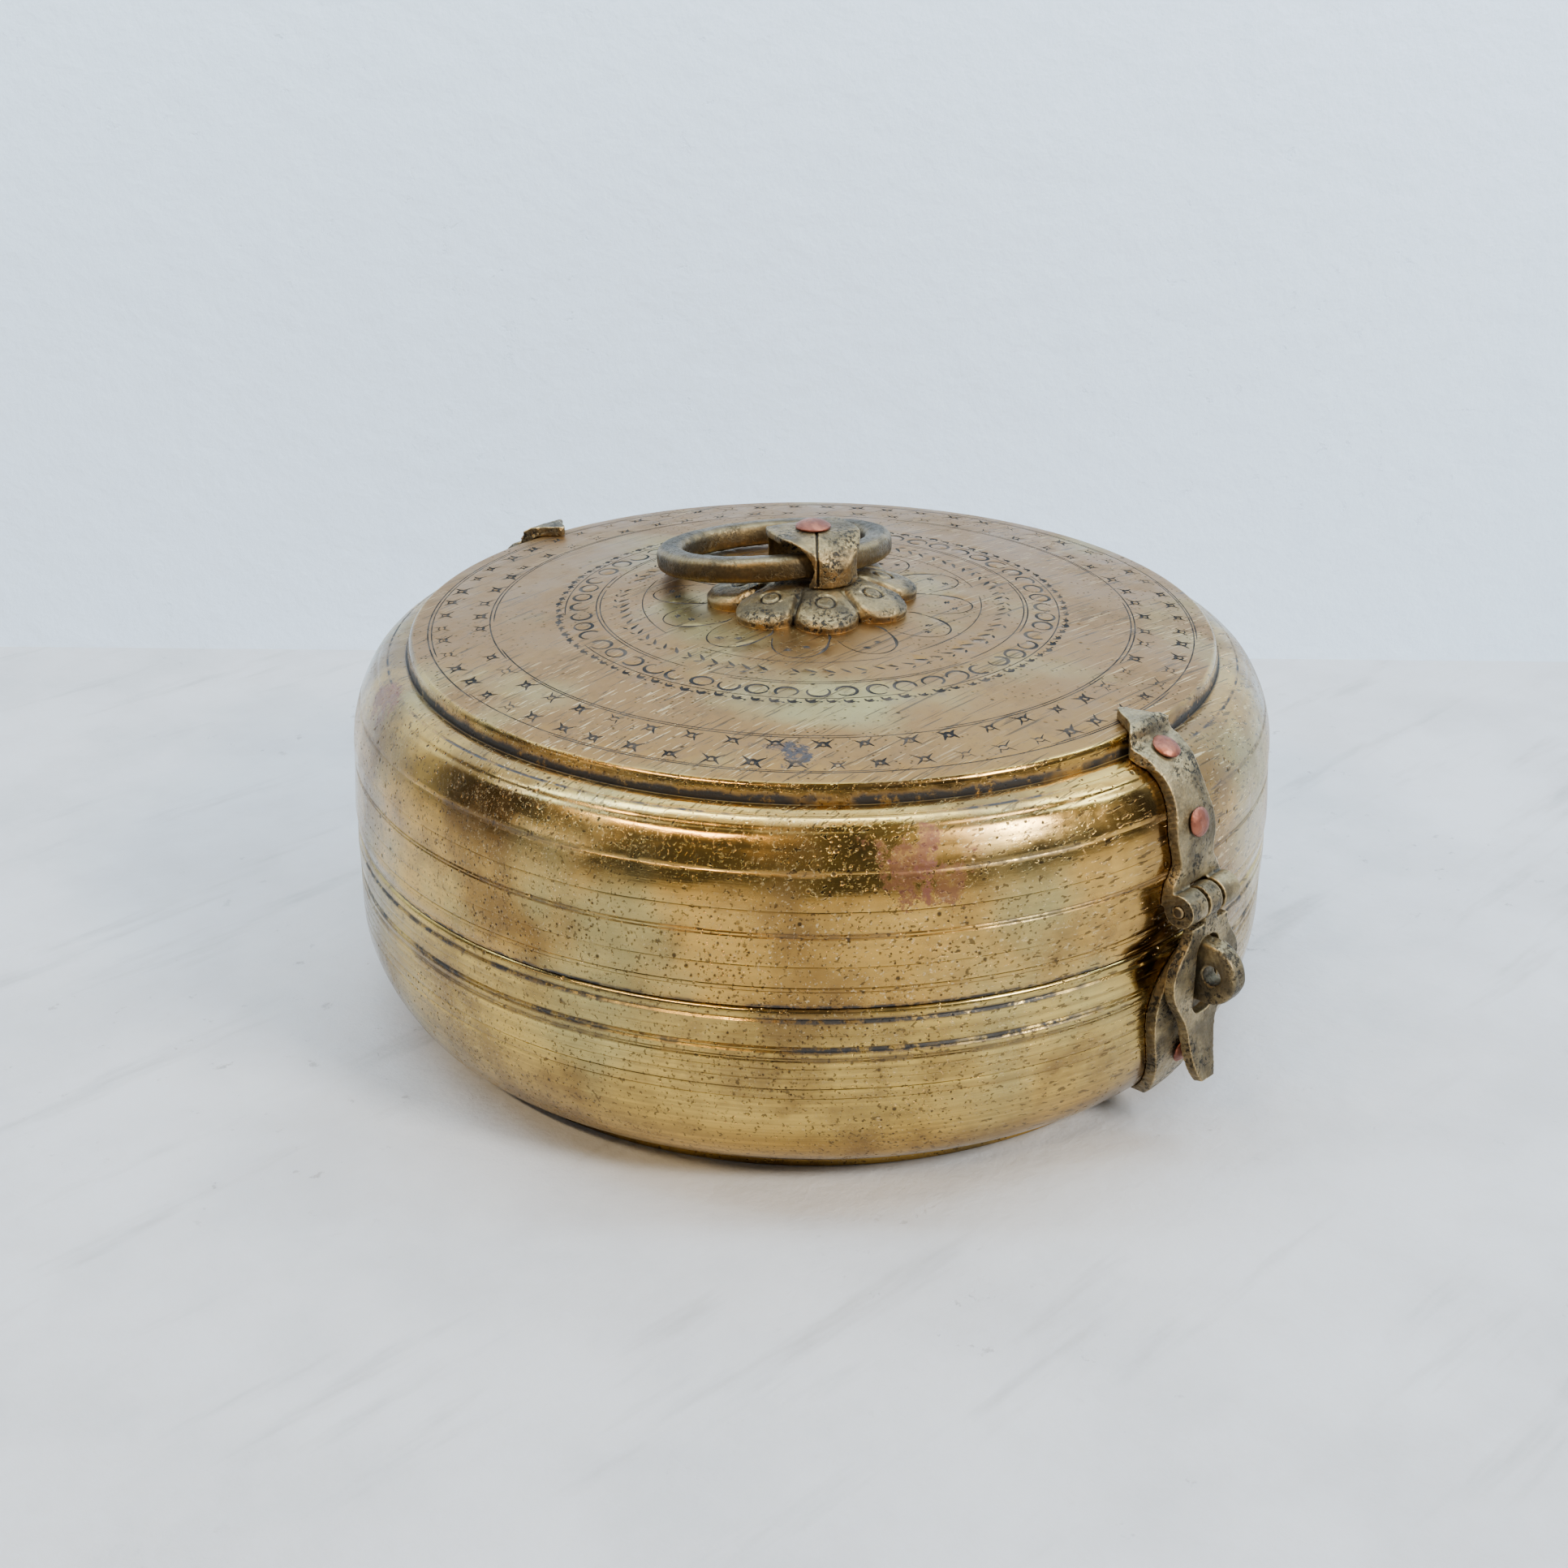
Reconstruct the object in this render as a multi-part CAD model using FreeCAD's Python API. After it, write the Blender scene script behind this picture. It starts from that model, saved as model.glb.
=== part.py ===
"""Round lidded brass food box with a rear hinge, a front hasp and a swinging ring handle.

Millimetres, +Z up. The origin is the centre of the underside. The hasp is on the -Y side and the
hinge on the +Y side. Straps are drawn on the +X side, where x is the radius, and then turned to
the front or the rear.
"""
import FreeCAD
import Part
import math
import os

Vector = FreeCAD.Vector
X_AXIS = Vector(1, 0, 0)
Y_AXIS = Vector(0, 1, 0)
Z_AXIS = Vector(0, 0, 1)
ORIGIN = Vector(0, 0, 0)
FRONT_DEG = -90.0
REAR_DEG = 90.0

# Bowl
SHEET = 1.4
FOOT_R = 106.0
FOOT_H = 5.0
BULGE_R = 19.0
BULGE_TOP_Z = 34.0
BOWL_R = FOOT_R + BULGE_R
BOWL_RIM_R = 124.2
BOWL_RIM_Z = 55.3
COLLAR_R = 122.2
COLLAR_SHEET = 1.2
COLLAR_TOP_Z = 60.6

# Lid
LID_SHEET = 1.3
LID_RIM_R = 124.5
LID_RIM_Z = 55.6
LID_R = 124.9
LID_WIDEST_Z = 60.5
STEP_FOOT = (108.8, 100.2)
DISC_Z = 111.6
DISC_MID_R = 75.0
DISC_EDGE_R = 106.8
DISC_EDGE_Z = 104.9
DISC_SPHERE_R = 854.5

# Curved parts of the walls are quarter ellipses: centre radius, centre height, reach and rise
BULGE = (FOOT_R, BULGE_TOP_Z, BULGE_R, FOOT_H - BULGE_TOP_Z)
SHOULDER = (110.0, 76.0, 14.2, 24.2)

# Straps, rivets and hinge pins
STRAP = 3.1
SEAT_GAP = 0.1
STRAP_REACH_DEG = 9.0
STRAP_TIP_R = 100.5
KNUCKLE_R = 4.3
BARREL_HALF = 10.2
OUTER_KNUCKLE_FROM = 3.5
MIDDLE_KNUCKLE_HALF = 2.6
KNUCKLE_ROOM = 0.5
PIN_R = 1.6
FIXED_BORE_R = 1.62
RUNNING_BORE_R = 1.67
PIN_HALF = 10.7
RIVET_HEAD_R = 3.8
RIVET_HEAD_H = 1.6
RIVET_SHANK_R = 1.9
RIVET_HOLE_R = 2.0
RIVET_GAP = 0.05

# Hasp
HASP_PIN_AT = (129.5, 66.5)
SWING_INNER_R = 129.3
SWING_OUTER_R = 132.4
SWING_TOP_Z = 61.5
SLOT_Z = (36.5, 57.5)
SLOT_HALF = 4.6
SLOT_CORNER_R = 3.6
EYE_HALF = 2.7
EYE_AT = (134.0, 48.3)
EYE_R = 8.2
LOCK_HOLE_AT = (135.4, 48.3)
LOCK_HOLE_R = 2.5
STAPLE_RIVET_Z = 24.6

# Rear hinge
HINGE_PIN_AT = (130.0, 57.0)
BODY_RIVET_Z = (42.0, 22.0)

# Where the rivets of the lid straps go through the shoulder
UPPER_RIVET_Z = 99.2
LOWER_RIVET_Z = 85.3

# Handle
PETALS = 8
PETAL_START_DEG = 8.0
PETAL_AT_R = 20.1
PETAL_R = 8.7
ROSETTE_LIFT = 0.03
ROSETTE_EDGE_Z = 114.0
ROSETTE_TOP_Z = 118.6
ROSETTE_TOP_R = 12.0
RING_OUTER_R = 32.5
BAR_W = 7.6
BAR_H = 7.0
BAR_CORNER_R = 3.0
RING_REST_Z = 110.2
RING_TURN_DEG = 72.0
TUNNEL_OFF = 6.6
BAR_Z = 123.3
TUNNEL_R = 4.8
TUNNEL_HALF = 11.4
TUNNEL_ROOF_Z = 128.6
SADDLE_HALF_W = 14.6
SADDLE_HALF_L = 11.5
SADDLE_TOP_Z = 131.0
HANDLE_SHANK_R = 2.0
HANDLE_HOLE_R = 2.06
HANDLE_HEAD_R = 4.9
HANDLE_HEAD_H = 2.1


def at(r, z):
    """A point of a profile, with the radius along +X."""
    return Vector(r, 0, z)


class Outline:
    """A closed profile drawn point by point in the radius-height plane."""

    def __init__(self, r, z):
        self.start = at(r, z)
        self.pen = self.start
        self.edges = []

    def line(self, *points):
        for r, z in points:
            self.edges.append(Part.makeLine(self.pen, at(r, z)))
            self.pen = at(r, z)
        return self

    def arc(self, through, end):
        self.edges.append(Part.Arc(self.pen, at(*through), at(*end)).toShape())
        self.pen = at(*end)
        return self

    def quarter(self, curve, z_end, outward):
        """A quarter ellipse between the height z_end and its widest point."""
        centre_r, centre_z, reach, rise = curve
        centre = at(centre_r, centre_z)
        widest = at(centre_r + reach, centre_z)
        start = math.acos(round((z_end - centre_z) / rise, 9))
        ellipse = Part.Ellipse(at(centre_r, centre_z + rise), widest, centre)
        arc = Part.ArcOfEllipse(ellipse, start, math.pi / 2)
        self.edges.append(arc.toShape())
        self.pen = widest if outward else arc.value(start)
        return self

    def face(self):
        if self.pen.distanceToPoint(self.start) > 1e-6:
            self.edges.append(Part.makeLine(self.pen, self.start))
        return Part.Face(Part.Wire(Part.__sortEdges__(self.edges)))

    def turned(self):
        return self.face().revolve(ORIGIN, Z_AXIS, 360)

    def band(self):
        """The profile swept a few degrees round the box, centred on +X."""
        swept = self.face().revolve(ORIGIN, Z_AXIS, 2 * STRAP_REACH_DEG)
        swept.rotate(ORIGIN, Z_AXIS, -STRAP_REACH_DEG)
        return swept

    def slab(self, half_width):
        """The profile drawn out straight to both sides."""
        face = self.face()
        face.translate(Vector(0, -half_width, 0))
        return face.extrude(Vector(0, 2 * half_width, 0))


def grown(curve, growth):
    """The quarter ellipse a little further out all round."""
    centre_r, centre_z, reach, rise = curve
    return centre_r, centre_z, reach + growth, rise + growth * math.copysign(1, rise)


def radius_at(curve, z):
    centre_r, centre_z, reach, rise = curve
    return centre_r + reach * math.sqrt(1 - ((z - centre_z) / rise) ** 2)


def disc_z(r):
    """Height of the domed top of the lid."""
    return DISC_Z - DISC_SPHERE_R + math.sqrt(DISC_SPHERE_R ** 2 - r ** 2)


def flank_r(z):
    """Radius of the straight flank of the lid, which widens a little on the way down."""
    top_r = SHOULDER[0] + SHOULDER[2]
    share = min(1.0, (SHOULDER[1] - z) / (SHOULDER[1] - LID_WIDEST_Z))
    return top_r + share * (LID_R - top_r)


def spline(points):
    curve = Part.BSplineCurve()
    curve.interpolate(points)
    return curve.toShape()


def leaf_face(stations, place):
    """A face with mirrored edges through (position, half width) stations."""
    left = [place(s, w) for s, w in stations]
    right = [place(s, -w) for s, w in stations]
    wires = [spline(left), spline(right)]
    wires.append(Part.makeLine(left[0], right[0]))
    wires.append(Part.makeLine(left[-1], right[-1]))
    return Part.Face(Part.Wire(Part.__sortEdges__(wires)))


def wall_leaf(stations):
    """A leaf outline seen from the side of the box: stations are (height, half width)."""
    return leaf_face(stations, lambda z, w: Vector(90, w, z)).extrude(Vector(60, 0, 0))


def top_leaf(stations):
    """A leaf outline seen from above: stations are (radius, half width)."""
    return leaf_face(stations, lambda r, w: Vector(r, w, 99.0)).extrude(Vector(0, 0, 30))


def cross_cylinder(where, radius, y_from, y_to):
    """A cylinder lying along the hinge line."""
    base = Vector(where[0], y_from, where[1])
    return Part.makeCylinder(radius, y_to - y_from, base, Y_AXIS)


def pair_of_knuckles(where):
    length = BARREL_HALF - OUTER_KNUCKLE_FROM
    left = cross_cylinder(where, KNUCKLE_R, -BARREL_HALF, length - BARREL_HALF)
    right = cross_cylinder(where, KNUCKLE_R, OUTER_KNUCKLE_FROM, BARREL_HALF)
    return left.fuse(right)


def pin(where):
    body = cross_cylinder(where, PIN_R, -PIN_HALF, PIN_HALF)
    return body.makeChamfer(0.3, [e for e in body.Edges if e.Length < 12])


def hinge_bore(where, radius):
    return cross_cylinder(where, radius, -40, 40)


def along(where, lean_deg):
    """A point and the outward direction of an axis that leans from upright towards +X."""
    lean = math.radians(lean_deg)
    return at(*where), Vector(math.sin(lean), 0, math.cos(lean))


def rivet(axis, outer, inner, shank_r, head_r, head_h):
    """A headed rivet: its faces bear at the distances outer and inner along its axis."""
    origin, direction = axis
    outer = outer + RIVET_GAP
    inner = inner - RIVET_GAP
    tail_r = 0.86 * head_r
    tail_h = 0.7 * head_h
    profile = Outline(0, outer + head_h)
    profile.arc((0.62 * head_r, outer + 0.86 * head_h), (head_r, outer + 0.3 * head_h))
    profile.line((head_r - 0.15, outer), (shank_r, outer), (shank_r, inner), (tail_r, inner))
    profile.line((tail_r, inner - 0.3 * tail_h), (0.6 * tail_r, inner - tail_h), (0, inner - tail_h))
    shape = profile.turned()
    turn = FreeCAD.Rotation(Z_AXIS, direction)
    shape.Placement = FreeCAD.Placement(origin, turn)
    return shape


def rivet_hole(axis, radius):
    origin, direction = axis
    return Part.makeCylinder(radius, 24, origin - direction * 12, direction)


# Axes of the strap rivets, each with the distances of its outer and inner bearing faces

def square_to(curve, z):
    """An axis square to a curved wall at this height."""
    centre_r, centre_z, reach, rise = curve
    r = radius_at(curve, z)
    lean = math.degrees(math.atan2((r - centre_r) / reach ** 2, (z - centre_z) / rise ** 2))
    return along((r, z), lean)


def lid_rivet_seats():
    outer = STRAP + SEAT_GAP + 0.15
    upper = square_to(SHOULDER, UPPER_RIVET_Z), outer, -LID_SHEET - 0.9
    lower = square_to(SHOULDER, LOWER_RIVET_Z), outer, -LID_SHEET - 0.4
    return upper, lower


def bowl_wall_rivet_seat():
    return along((BOWL_R, BODY_RIVET_Z[0]), 90), STRAP + SEAT_GAP, -SHEET - 0.1


def bulge_rivet_seat(z):
    return square_to(BULGE, z), STRAP + SEAT_GAP + 0.15, -SHEET - 0.25


def strap_rivet(seat):
    axis, outer, inner = seat
    return rivet(axis, outer, inner, RIVET_SHANK_R, RIVET_HEAD_R, RIVET_HEAD_H)


def pierced(shape, seats):
    for axis, _, _ in seats:
        shape = shape.cut(rivet_hole(axis, RIVET_HOLE_R))
    return shape


# Bowl and lid

def bowl_shell():
    inner_r = BOWL_R - SHEET
    collar_inner_r = COLLAR_R - COLLAR_SHEET
    profile = Outline(0, 0)
    profile.line((FOOT_R - 1.2, 0), (FOOT_R, 1.2), (FOOT_R, FOOT_H))
    profile.quarter(BULGE, FOOT_H, True)
    profile.line((BOWL_R, 50), (BOWL_RIM_R + 0.4, BOWL_RIM_Z - 0.5), (BOWL_RIM_R, BOWL_RIM_Z))
    profile.line((COLLAR_R, BOWL_RIM_Z), (COLLAR_R, COLLAR_TOP_Z - 0.4))
    profile.line((COLLAR_R - 0.4, COLLAR_TOP_Z), (collar_inner_r, COLLAR_TOP_Z))
    profile.line((collar_inner_r, BOWL_RIM_Z - 1), (inner_r, BOWL_RIM_Z - 3), (inner_r, BULGE_TOP_Z))
    profile.quarter(grown(BULGE, -SHEET), FOOT_H + SHEET, False)
    profile.line((FOOT_R - SHEET, FOOT_H + SHEET - 1.2), (FOOT_R - SHEET, SHEET), (0, SHEET))
    shell = profile.turned()
    shell = shell.cut(to_front(rivet_hole(bulge_rivet_seat(STAPLE_RIVET_Z)[0], RIVET_HOLE_R)))
    shell = shell.cut(to_front(eye_shank(RIVET_HOLE_R)))
    for axis, _, _ in (bowl_wall_rivet_seat(), bulge_rivet_seat(BODY_RIVET_Z[1])):
        shell = shell.cut(to_rear(rivet_hole(axis, RIVET_HOLE_R)))
    return shell


def lid_shell():
    inner_shoulder = grown(SHOULDER, -LID_SHEET)
    inner_step_r = STEP_FOOT[0] - LID_SHEET
    inner_disc_r = DISC_EDGE_R - 0.9
    ledge_z = SHOULDER[1] + SHOULDER[3]
    profile = Outline(HANDLE_HOLE_R, disc_z(HANDLE_HOLE_R))
    profile.arc((DISC_MID_R, disc_z(DISC_MID_R)), (DISC_EDGE_R, disc_z(DISC_EDGE_R)))
    profile.arc((DISC_EDGE_R + 0.95, DISC_EDGE_Z - 0.55), (DISC_EDGE_R + 1.3, DISC_EDGE_Z - 1.6))
    profile.line(STEP_FOOT, (SHOULDER[0], ledge_z))
    profile.quarter(SHOULDER, ledge_z, True)
    profile.line((LID_R, LID_WIDEST_Z), (LID_RIM_R, LID_RIM_Z), (LID_RIM_R - LID_SHEET, LID_RIM_Z))
    profile.line((LID_R - LID_SHEET, LID_WIDEST_Z), (flank_r(SHOULDER[1]) - LID_SHEET, SHOULDER[1]))
    profile.quarter(inner_shoulder, ledge_z - LID_SHEET, False)
    profile.line((inner_step_r, ledge_z - LID_SHEET), (DISC_EDGE_R - 0.1, DISC_EDGE_Z - 1.9))
    profile.line((inner_disc_r, disc_z(inner_disc_r) - LID_SHEET))
    profile.arc((DISC_MID_R, disc_z(DISC_MID_R) - LID_SHEET), (HANDLE_HOLE_R, disc_z(0) - LID_SHEET))
    shell = profile.turned()
    for axis, _, _ in lid_rivet_seats():
        shell = shell.cut(to_front(rivet_hole(axis, RIVET_HOLE_R)))
        shell = shell.cut(to_rear(rivet_hole(axis, RIVET_HOLE_R)))
    return shell


# Straps

def lid_leaf(pin_at):
    """A cast strap over the edge of the lid, ending in two knuckles."""
    low_z = pin_at[1]
    foot_z = max(low_z, LID_WIDEST_Z)
    inner = grown(SHOULDER, SEAT_GAP)
    outer = grown(inner, STRAP)
    ledge_z = inner[1] + inner[3]
    tip_z = disc_z(STRAP_TIP_R) + SEAT_GAP
    profile = Outline(STRAP_TIP_R, tip_z)
    profile.line((DISC_EDGE_R, DISC_EDGE_Z + 0.15), (DISC_EDGE_R + 1.8, DISC_EDGE_Z - 0.4))
    profile.line((STEP_FOOT[0] + 0.7, ledge_z + 1.2), (SHOULDER[0], ledge_z))
    profile.quarter(inner, ledge_z, True)
    profile.line((flank_r(foot_z) + SEAT_GAP, foot_z))
    if low_z < foot_z:
        profile.line((LID_R + SEAT_GAP, low_z))
    profile.line((LID_R + SEAT_GAP + STRAP, low_z), (outer[0] + outer[2], outer[1]))
    profile.quarter(outer, ledge_z + 2.9, False)
    profile.line((111.2, ledge_z + 4.4), (110.9, ledge_z + 6.4), (109.4, ledge_z + 7.6))
    profile.line((DISC_EDGE_R, DISC_EDGE_Z + 3.2), (STRAP_TIP_R, tip_z + 2.9))
    band = profile.band()
    crown = top_leaf([(101, 0.5), (102.5, 1.6), (105, 3.0), (107.5, 4.4), (109.5, 6.8), (111.8, 8.7),
                      (114.2, 8.3), (117, 7.8), (120, 7.7), (131, 7.7)])
    low = [(99.5, 7.7), (95, 6.6), (90, 7.0), (85, 8.0), (80, 7.5), (pin_at[1] + 9.5, 7.0)]
    low += [(pin_at[1] + 6, 9.4), (pin_at[1], BARREL_HALF), (pin_at[1] - 2, BARREL_HALF)]
    leaf = band.common(crown).fuse(band.common(wall_leaf(low)))
    leaf = leaf.fuse(pair_of_knuckles(pin_at))
    room = KNUCKLE_R + KNUCKLE_ROOM
    gap = OUTER_KNUCKLE_FROM
    leaf = leaf.cut(cross_cylinder(pin_at, room, -gap, gap))
    leaf = leaf.cut(Part.makeBox(12, 2 * gap, 11, Vector(pin_at[0] - 8, -gap, pin_at[1] - 8)))
    leaf = leaf.cut(hinge_bore(pin_at, FIXED_BORE_R))
    return pierced(leaf, lid_rivet_seats()).removeSplitter()


def bowl_strap(z_low, z_top, stations):
    """A cast leaf that hugs the wall and the bulge of the bowl."""
    inner = grown(BULGE, SEAT_GAP)
    outer = grown(inner, STRAP)
    outer_r = BOWL_R + SEAT_GAP + STRAP
    profile = Outline(radius_at(inner, z_low), z_low)
    profile.quarter(inner, z_low, True)
    profile.line((BOWL_R + SEAT_GAP, z_top), (outer_r, z_top), (outer_r, BULGE_TOP_Z))
    profile.quarter(outer, z_low, False)
    return profile.band().common(wall_leaf(stations))


def eye_shank(radius):
    base = Vector(BOWL_R - 8, 0, EYE_AT[1])
    return Part.makeCylinder(radius, 12, base, X_AXIS)


def staple_plate():
    stations = [(6.5, 0.6), (9, 2.4), (14, 5.6), (20, 8.4), (27, 11.4), (34, 13.0), (40, 12.6),
                (46, 10.0), (51, 5.2), (54, 0.8)]
    plate = bowl_strap(6.5, 54, stations)
    plate = pierced(plate, [bulge_rivet_seat(STAPLE_RIVET_Z)])
    return plate.cut(eye_shank(RIVET_HOLE_R))


def staple_eye():
    face_r = BOWL_R + SEAT_GAP + STRAP + 0.05
    tail_r = BOWL_R - SHEET - 0.15
    eye_r, eye_z = EYE_AT
    rounded = cross_cylinder(EYE_AT, EYE_R, -EYE_HALF, EYE_HALF)
    root_at = Vector(face_r, -EYE_HALF, eye_z - EYE_R)
    tab = rounded.fuse(Part.makeBox(eye_r - face_r, 2 * EYE_HALF, 2 * EYE_R, root_at))
    tab = tab.common(Part.makeBox(40, 40, 60, Vector(face_r, -20, 20))).removeSplitter()
    rim = [e for e in tab.Edges if e.BoundBox.XMax > eye_r + 2 and e.Length > 12]
    tab = tab.makeFillet(1.0, rim)
    tab = tab.cut(cross_cylinder(LOCK_HOLE_AT, LOCK_HOLE_R, -10, 10))
    shank = Part.makeCylinder(RIVET_SHANK_R, face_r - tail_r + 0.5, Vector(tail_r - 0.5, 0, eye_z), X_AXIS)
    tail = Part.makeCone(2.4, 3.3, 1.2, Vector(tail_r - 1.2, 0, eye_z), X_AXIS)
    return tab.fuse(shank).fuse(tail).removeSplitter()


def swing_plate():
    profile = Outline(SWING_INNER_R, SWING_TOP_Z)
    profile.line((SWING_INNER_R, 37))
    profile.arc((130.0, 27.5), (132.8, 17.5))
    profile.line((135.8, 18.5))
    profile.arc((133.1, 28.0), (SWING_OUTER_R, 37.5))
    profile.line((SWING_OUTER_R, SWING_TOP_Z))
    stations = [(17, 1.6), (19.5, 3.2), (25, 4.8), (31, 5.8), (35, 7.0), (38, 8.9), (42, 11.7),
                (46, 13.4), (50, 13.6), (54, 11.6), (57.5, 9.0), (62, 7.6)]
    plate = profile.slab(18).common(wall_leaf(stations)).cut(slot_prism())
    neck = middle_neck(SWING_INNER_R, SWING_OUTER_R, SWING_TOP_Z - 2, HASP_PIN_AT[1])
    plate = plate.fuse(middle_knuckle(HASP_PIN_AT)).fuse(neck)
    return plate.cut(hinge_bore(HASP_PIN_AT, RUNNING_BORE_R)).removeSplitter()


def middle_knuckle(where):
    return cross_cylinder(where, KNUCKLE_R, -MIDDLE_KNUCKLE_HALF, MIDDLE_KNUCKLE_HALF)


def middle_neck(r_from, r_to, z_from, z_to):
    """The short tongue that joins a leaf to its middle knuckle."""
    low = Vector(r_from, -MIDDLE_KNUCKLE_HALF, z_from)
    return Part.makeBox(r_to - r_from, 2 * MIDDLE_KNUCKLE_HALF, z_to - z_from, low)


def slot_prism():
    low, high = SLOT_Z
    block = Part.makeBox(30, 2 * SLOT_HALF, high - low, Vector(SWING_INNER_R - 10, -SLOT_HALF, low))
    level = [e for e in block.Edges if e.BoundBox.XLength > 20]
    return block.makeFillet(SLOT_CORNER_R, level)


def hinge_body_leaf():
    stations = [(8, 0.6), (11, 3.0), (16, 6.2), (22, 8.6), (30, 9.4), (37, 8.4), (43, 8.9), (48, 9.8),
                (51.6, 9.8)]
    neck_r = BOWL_R + SEAT_GAP
    neck = middle_neck(neck_r, neck_r + STRAP, 49, HINGE_PIN_AT[1])
    plate = bowl_strap(8, 51.6, stations)
    plate = plate.fuse(middle_knuckle(HINGE_PIN_AT)).fuse(neck)
    plate = plate.cut(hinge_bore(HINGE_PIN_AT, RUNNING_BORE_R))
    return pierced(plate, [bowl_wall_rivet_seat(), bulge_rivet_seat(BODY_RIVET_Z[1])]).removeSplitter()


# Handle

def rosette():
    """A domed flower of eight petals that fits the dome of the lid under the handle."""
    reach = PETAL_AT_R + PETAL_R + 1
    profile = Outline(HANDLE_HOLE_R, disc_z(0) + ROSETTE_LIFT)
    profile.arc((reach / 2, disc_z(reach / 2) + ROSETTE_LIFT), (reach, disc_z(reach) + ROSETTE_LIFT))
    profile.line((reach, ROSETTE_EDGE_Z - 0.1))
    profile.arc((20.5, ROSETTE_EDGE_Z + 2.9), (ROSETTE_TOP_R, ROSETTE_TOP_Z))
    profile.line((HANDLE_HOLE_R, ROSETTE_TOP_Z))
    height = ROSETTE_TOP_Z - DISC_Z + 4
    petals = Part.makeCylinder(PETAL_AT_R - 0.5, height, Vector(0, 0, DISC_Z - 3))
    for i in range(PETALS):
        turn = math.radians(PETAL_START_DEG + 360.0 / PETALS * i)
        centre = Vector(PETAL_AT_R * math.cos(turn), PETAL_AT_R * math.sin(turn), DISC_Z - 3)
        petals = petals.fuse(Part.makeCylinder(PETAL_R, height, centre))
    flower = profile.turned().common(petals)
    for i in range(PETALS):
        flower = flower.cut(petal_groove(PETAL_START_DEG + 360.0 / PETALS * (i + 0.5)))
    return flower.removeSplitter()


def petal_groove(turn_deg):
    """A V-shaped furrow running down between two petals."""
    head = vee(11, 0.9, ROSETTE_TOP_Z - 1.6, ROSETTE_TOP_Z + 1.2)
    foot = vee(30, 1.6, DISC_Z + 0.9, ROSETTE_EDGE_Z + 2.6)
    furrow = Part.makeLoft([head, foot], True)
    furrow.rotate(ORIGIN, Z_AXIS, turn_deg)
    return furrow


def vee(x, half_width, z_low, z_high):
    corners = [Vector(x, 0, z_low), Vector(x, half_width, z_high), Vector(x, -half_width, z_high)]
    return Part.makePolygon(corners + corners[:1])


def to_tunnel(shape):
    """Turn a shape whose ring handle lies towards +X to the handle's own direction."""
    return turned(shape, RING_TURN_DEG)


def saddle():
    """An arched cap with a tunnel along Y, held down by the rivet through its middle."""
    shoulder_z = SADDLE_TOP_Z - 7.4
    haunch = (11.2, SADDLE_TOP_Z - 2.2)
    outer = Outline(-SADDLE_HALF_W, ROSETTE_TOP_Z)
    outer.line((-SADDLE_HALF_W, shoulder_z))
    outer.arc((-haunch[0], haunch[1]), (-5.4, SADDLE_TOP_Z))
    outer.line((5.4, SADDLE_TOP_Z))
    outer.arc(haunch, (SADDLE_HALF_W, shoulder_z))
    outer.line((SADDLE_HALF_W, ROSETTE_TOP_Z))
    plan = Part.Ellipse(ORIGIN, SADDLE_HALF_W + 0.3, SADDLE_HALF_L + 0.4)
    plan = Part.Face(Part.Wire(plan.toShape()))
    plan.translate(Vector(0, 0, ROSETTE_TOP_Z - 5))
    block = outer.slab(SADDLE_HALF_L).common(plan.extrude(Vector(0, 0, 30)))
    tunnel_h = TUNNEL_ROOF_Z - ROSETTE_TOP_Z + 1
    tunnel = Part.makeBox(2 * TUNNEL_HALF, 40, tunnel_h, Vector(-TUNNEL_HALF, -20, ROSETTE_TOP_Z - 1))
    roof_edges = [e for e in tunnel.Edges if e.BoundBox.ZMin > TUNNEL_ROOF_Z - 0.5]
    corners = [e for e in roof_edges if e.BoundBox.YLength > 20]
    tunnel = tunnel.makeFillet(TUNNEL_R - 0.1, corners)
    block = block.cut(tunnel).cut(ring_sweep_room())
    return to_tunnel(block.cut(Part.makeCylinder(HANDLE_HOLE_R, 40, Vector(0, 0, 100))))


def ring_radius():
    return RING_OUTER_R - BAR_W / 2


def ring_sweep_room():
    """The flared room that the curved bar sweeps as it turns in the tunnel."""
    reach = SADDLE_HALF_L + 3
    rim = []
    for i in range(-4, 5):
        along_y = reach * i / 4
        rim.append(Vector(TUNNEL_R + along_y ** 2 / (2 * ring_radius()), along_y, 0))
    edges = [spline(rim)]
    edges.append(Part.makeLine(rim[-1], Vector(0, reach, 0)))
    edges.append(Part.makeLine(Vector(0, reach, 0), Vector(0, -reach, 0)))
    edges.append(Part.makeLine(Vector(0, -reach, 0), rim[0]))
    room = Part.Face(Part.Wire(Part.__sortEdges__(edges))).revolve(ORIGIN, Y_AXIS, 360)
    room.translate(Vector(-TUNNEL_OFF, 0, BAR_Z))
    return room


def ring_tilt_deg():
    """How far the ring leans down from level when its far side lies on the lid."""
    drop = BAR_Z - (RING_REST_Z + 0.3 + BAR_H / 2)
    return math.degrees(math.asin(drop / (2 * ring_radius())))


def ring():
    """The swinging ring: a rounded square bar bent to a circle."""
    half_w = BAR_W / 2
    half_h = BAR_H / 2
    section = Part.makeBox(BAR_W, 1, BAR_H, Vector(ring_radius() - half_w, 0, -half_h))
    section = section.makeFillet(BAR_CORNER_R, [e for e in section.Edges if e.BoundBox.YLength > 0.5])
    face = [f for f in section.Faces if abs(f.BoundBox.YMax) < 1e-6][0]
    hoop = face.revolve(ORIGIN, Z_AXIS, 360)
    hoop.translate(Vector(ring_radius() - TUNNEL_OFF, 0, BAR_Z))
    hoop.rotate(Vector(-TUNNEL_OFF, 0, BAR_Z), Y_AXIS, ring_tilt_deg())
    return to_tunnel(hoop)


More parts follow.
